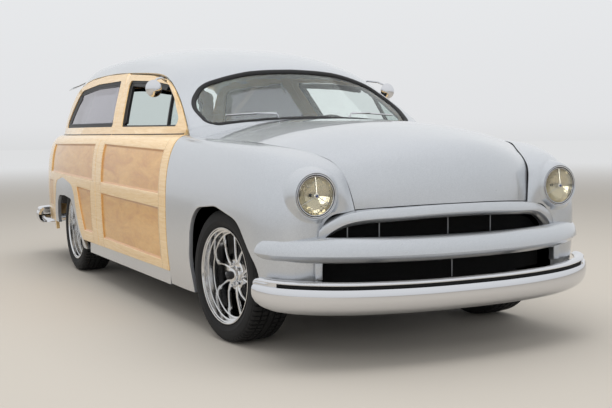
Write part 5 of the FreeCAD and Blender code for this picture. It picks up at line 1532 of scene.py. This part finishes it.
def stage_floor():
    """A pale floor; the camera sees it fade into the pale backdrop."""
    bm = bmesh.new()
    bmesh.ops.create_grid(bm, x_segments=1, y_segments=1, size=60.0)
    mesh = bpy.data.meshes.new("floor")
    bm.to_mesh(mesh)
    bm.free()
    material, tree, shader = new_material("pale_studio_floor", Base_Color=linear("aca69d"), Roughness=0.9)
    place = add_node(tree, "ShaderNodeTexCoord").outputs["Object"]
    away = add_node(tree, "ShaderNodeVectorMath", {0: place}, operation="LENGTH").outputs["Value"]
    far = add_node(tree, "ShaderNodeMapRange", {"Value": away, "From Min": 7.0, "From Max": 26.0},
                   interpolation_type="SMOOTHSTEP")
    haze = add_node(tree, "ShaderNodeEmission", {"Color": linear("dedfe0")})
    fade = add_node(tree, "ShaderNodeMixShader", {0: far.outputs["Result"], 1: shader.outputs["BSDF"],
                                                  2: haze.outputs["Emission"]})
    tree.links.new(fade.outputs["Shader"], tree.nodes["Material Output"].inputs["Surface"])
    mesh.materials.append(material)
    floor = bpy.data.objects.new("floor", mesh)
    bpy.context.scene.collection.objects.link(floor)


def stage_light():
    """A soft sky, which camera, mirrors and glass see paler, and two wide lamps."""
    world = bpy.data.worlds.new("soft_studio")
    world.use_nodes = True
    bpy.context.scene.world = world
    tree = world.node_tree
    background = tree.nodes["Background"]
    place = add_node(tree, "ShaderNodeTexCoord").outputs["Generated"]
    level = add_node(tree, "ShaderNodeSeparateXYZ", {0: place}).outputs["Z"]
    height = add_node(tree, "ShaderNodeMapRange", {"Value": level, "From Min": -1.0}).outputs["Result"]
    light = ramp(tree, height, ((0.0, "77746f"), (0.47, "8f8d8a"), (0.52, "dfe2e6"), (1.0, "ffffff")))
    shown = ramp(tree, height, ((0.0, "8b8a88"), (0.49, "d9dadb"), (0.505, "e2e3e5"), (0.62, "ebedef"),
                                (1.0, "f4f5f7")))
    rays = add_node(tree, "ShaderNodeLightPath")
    mirrored = add_node(tree, "ShaderNodeMath", {0: rays.outputs["Is Glossy Ray"],
                                                 1: rays.outputs["Is Transmission Ray"]}, operation="MAXIMUM")
    seen = add_node(tree, "ShaderNodeMath", {0: rays.outputs["Is Camera Ray"], 1: mirrored.outputs["Value"]},
                    operation="MAXIMUM")
    plain = add_node(tree, "ShaderNodeMixRGB",
                     {"Fac": seen.outputs["Value"], "Color1": light, "Color2": shown})
    tree.links.new(plain.outputs["Color"], background.inputs["Color"])
    background.inputs["Strength"].default_value = 1.0
    for name, place, turn, size, watts in (
            ("overhead", (0.5, 0.0, 5.5), (0.0, 0.0, 0.0), 7.0, 330.0),
            ("front_fill", (7.5, -4.5, 3.2), (1.05, 0.0, 1.03), 4.0, 160.0)):
        data = bpy.data.lights.new(name, "AREA")
        data.size = size
        data.energy = watts
        lamp = bpy.data.objects.new(name, data)
        lamp.visible_glossy = False
        lamp.location = place
        lamp.rotation_euler = turn
        bpy.context.scene.collection.objects.link(lamp)


stage_camera()
stage_floor()
stage_light()
bpy.context.scene.view_settings.view_transform = "Standard"
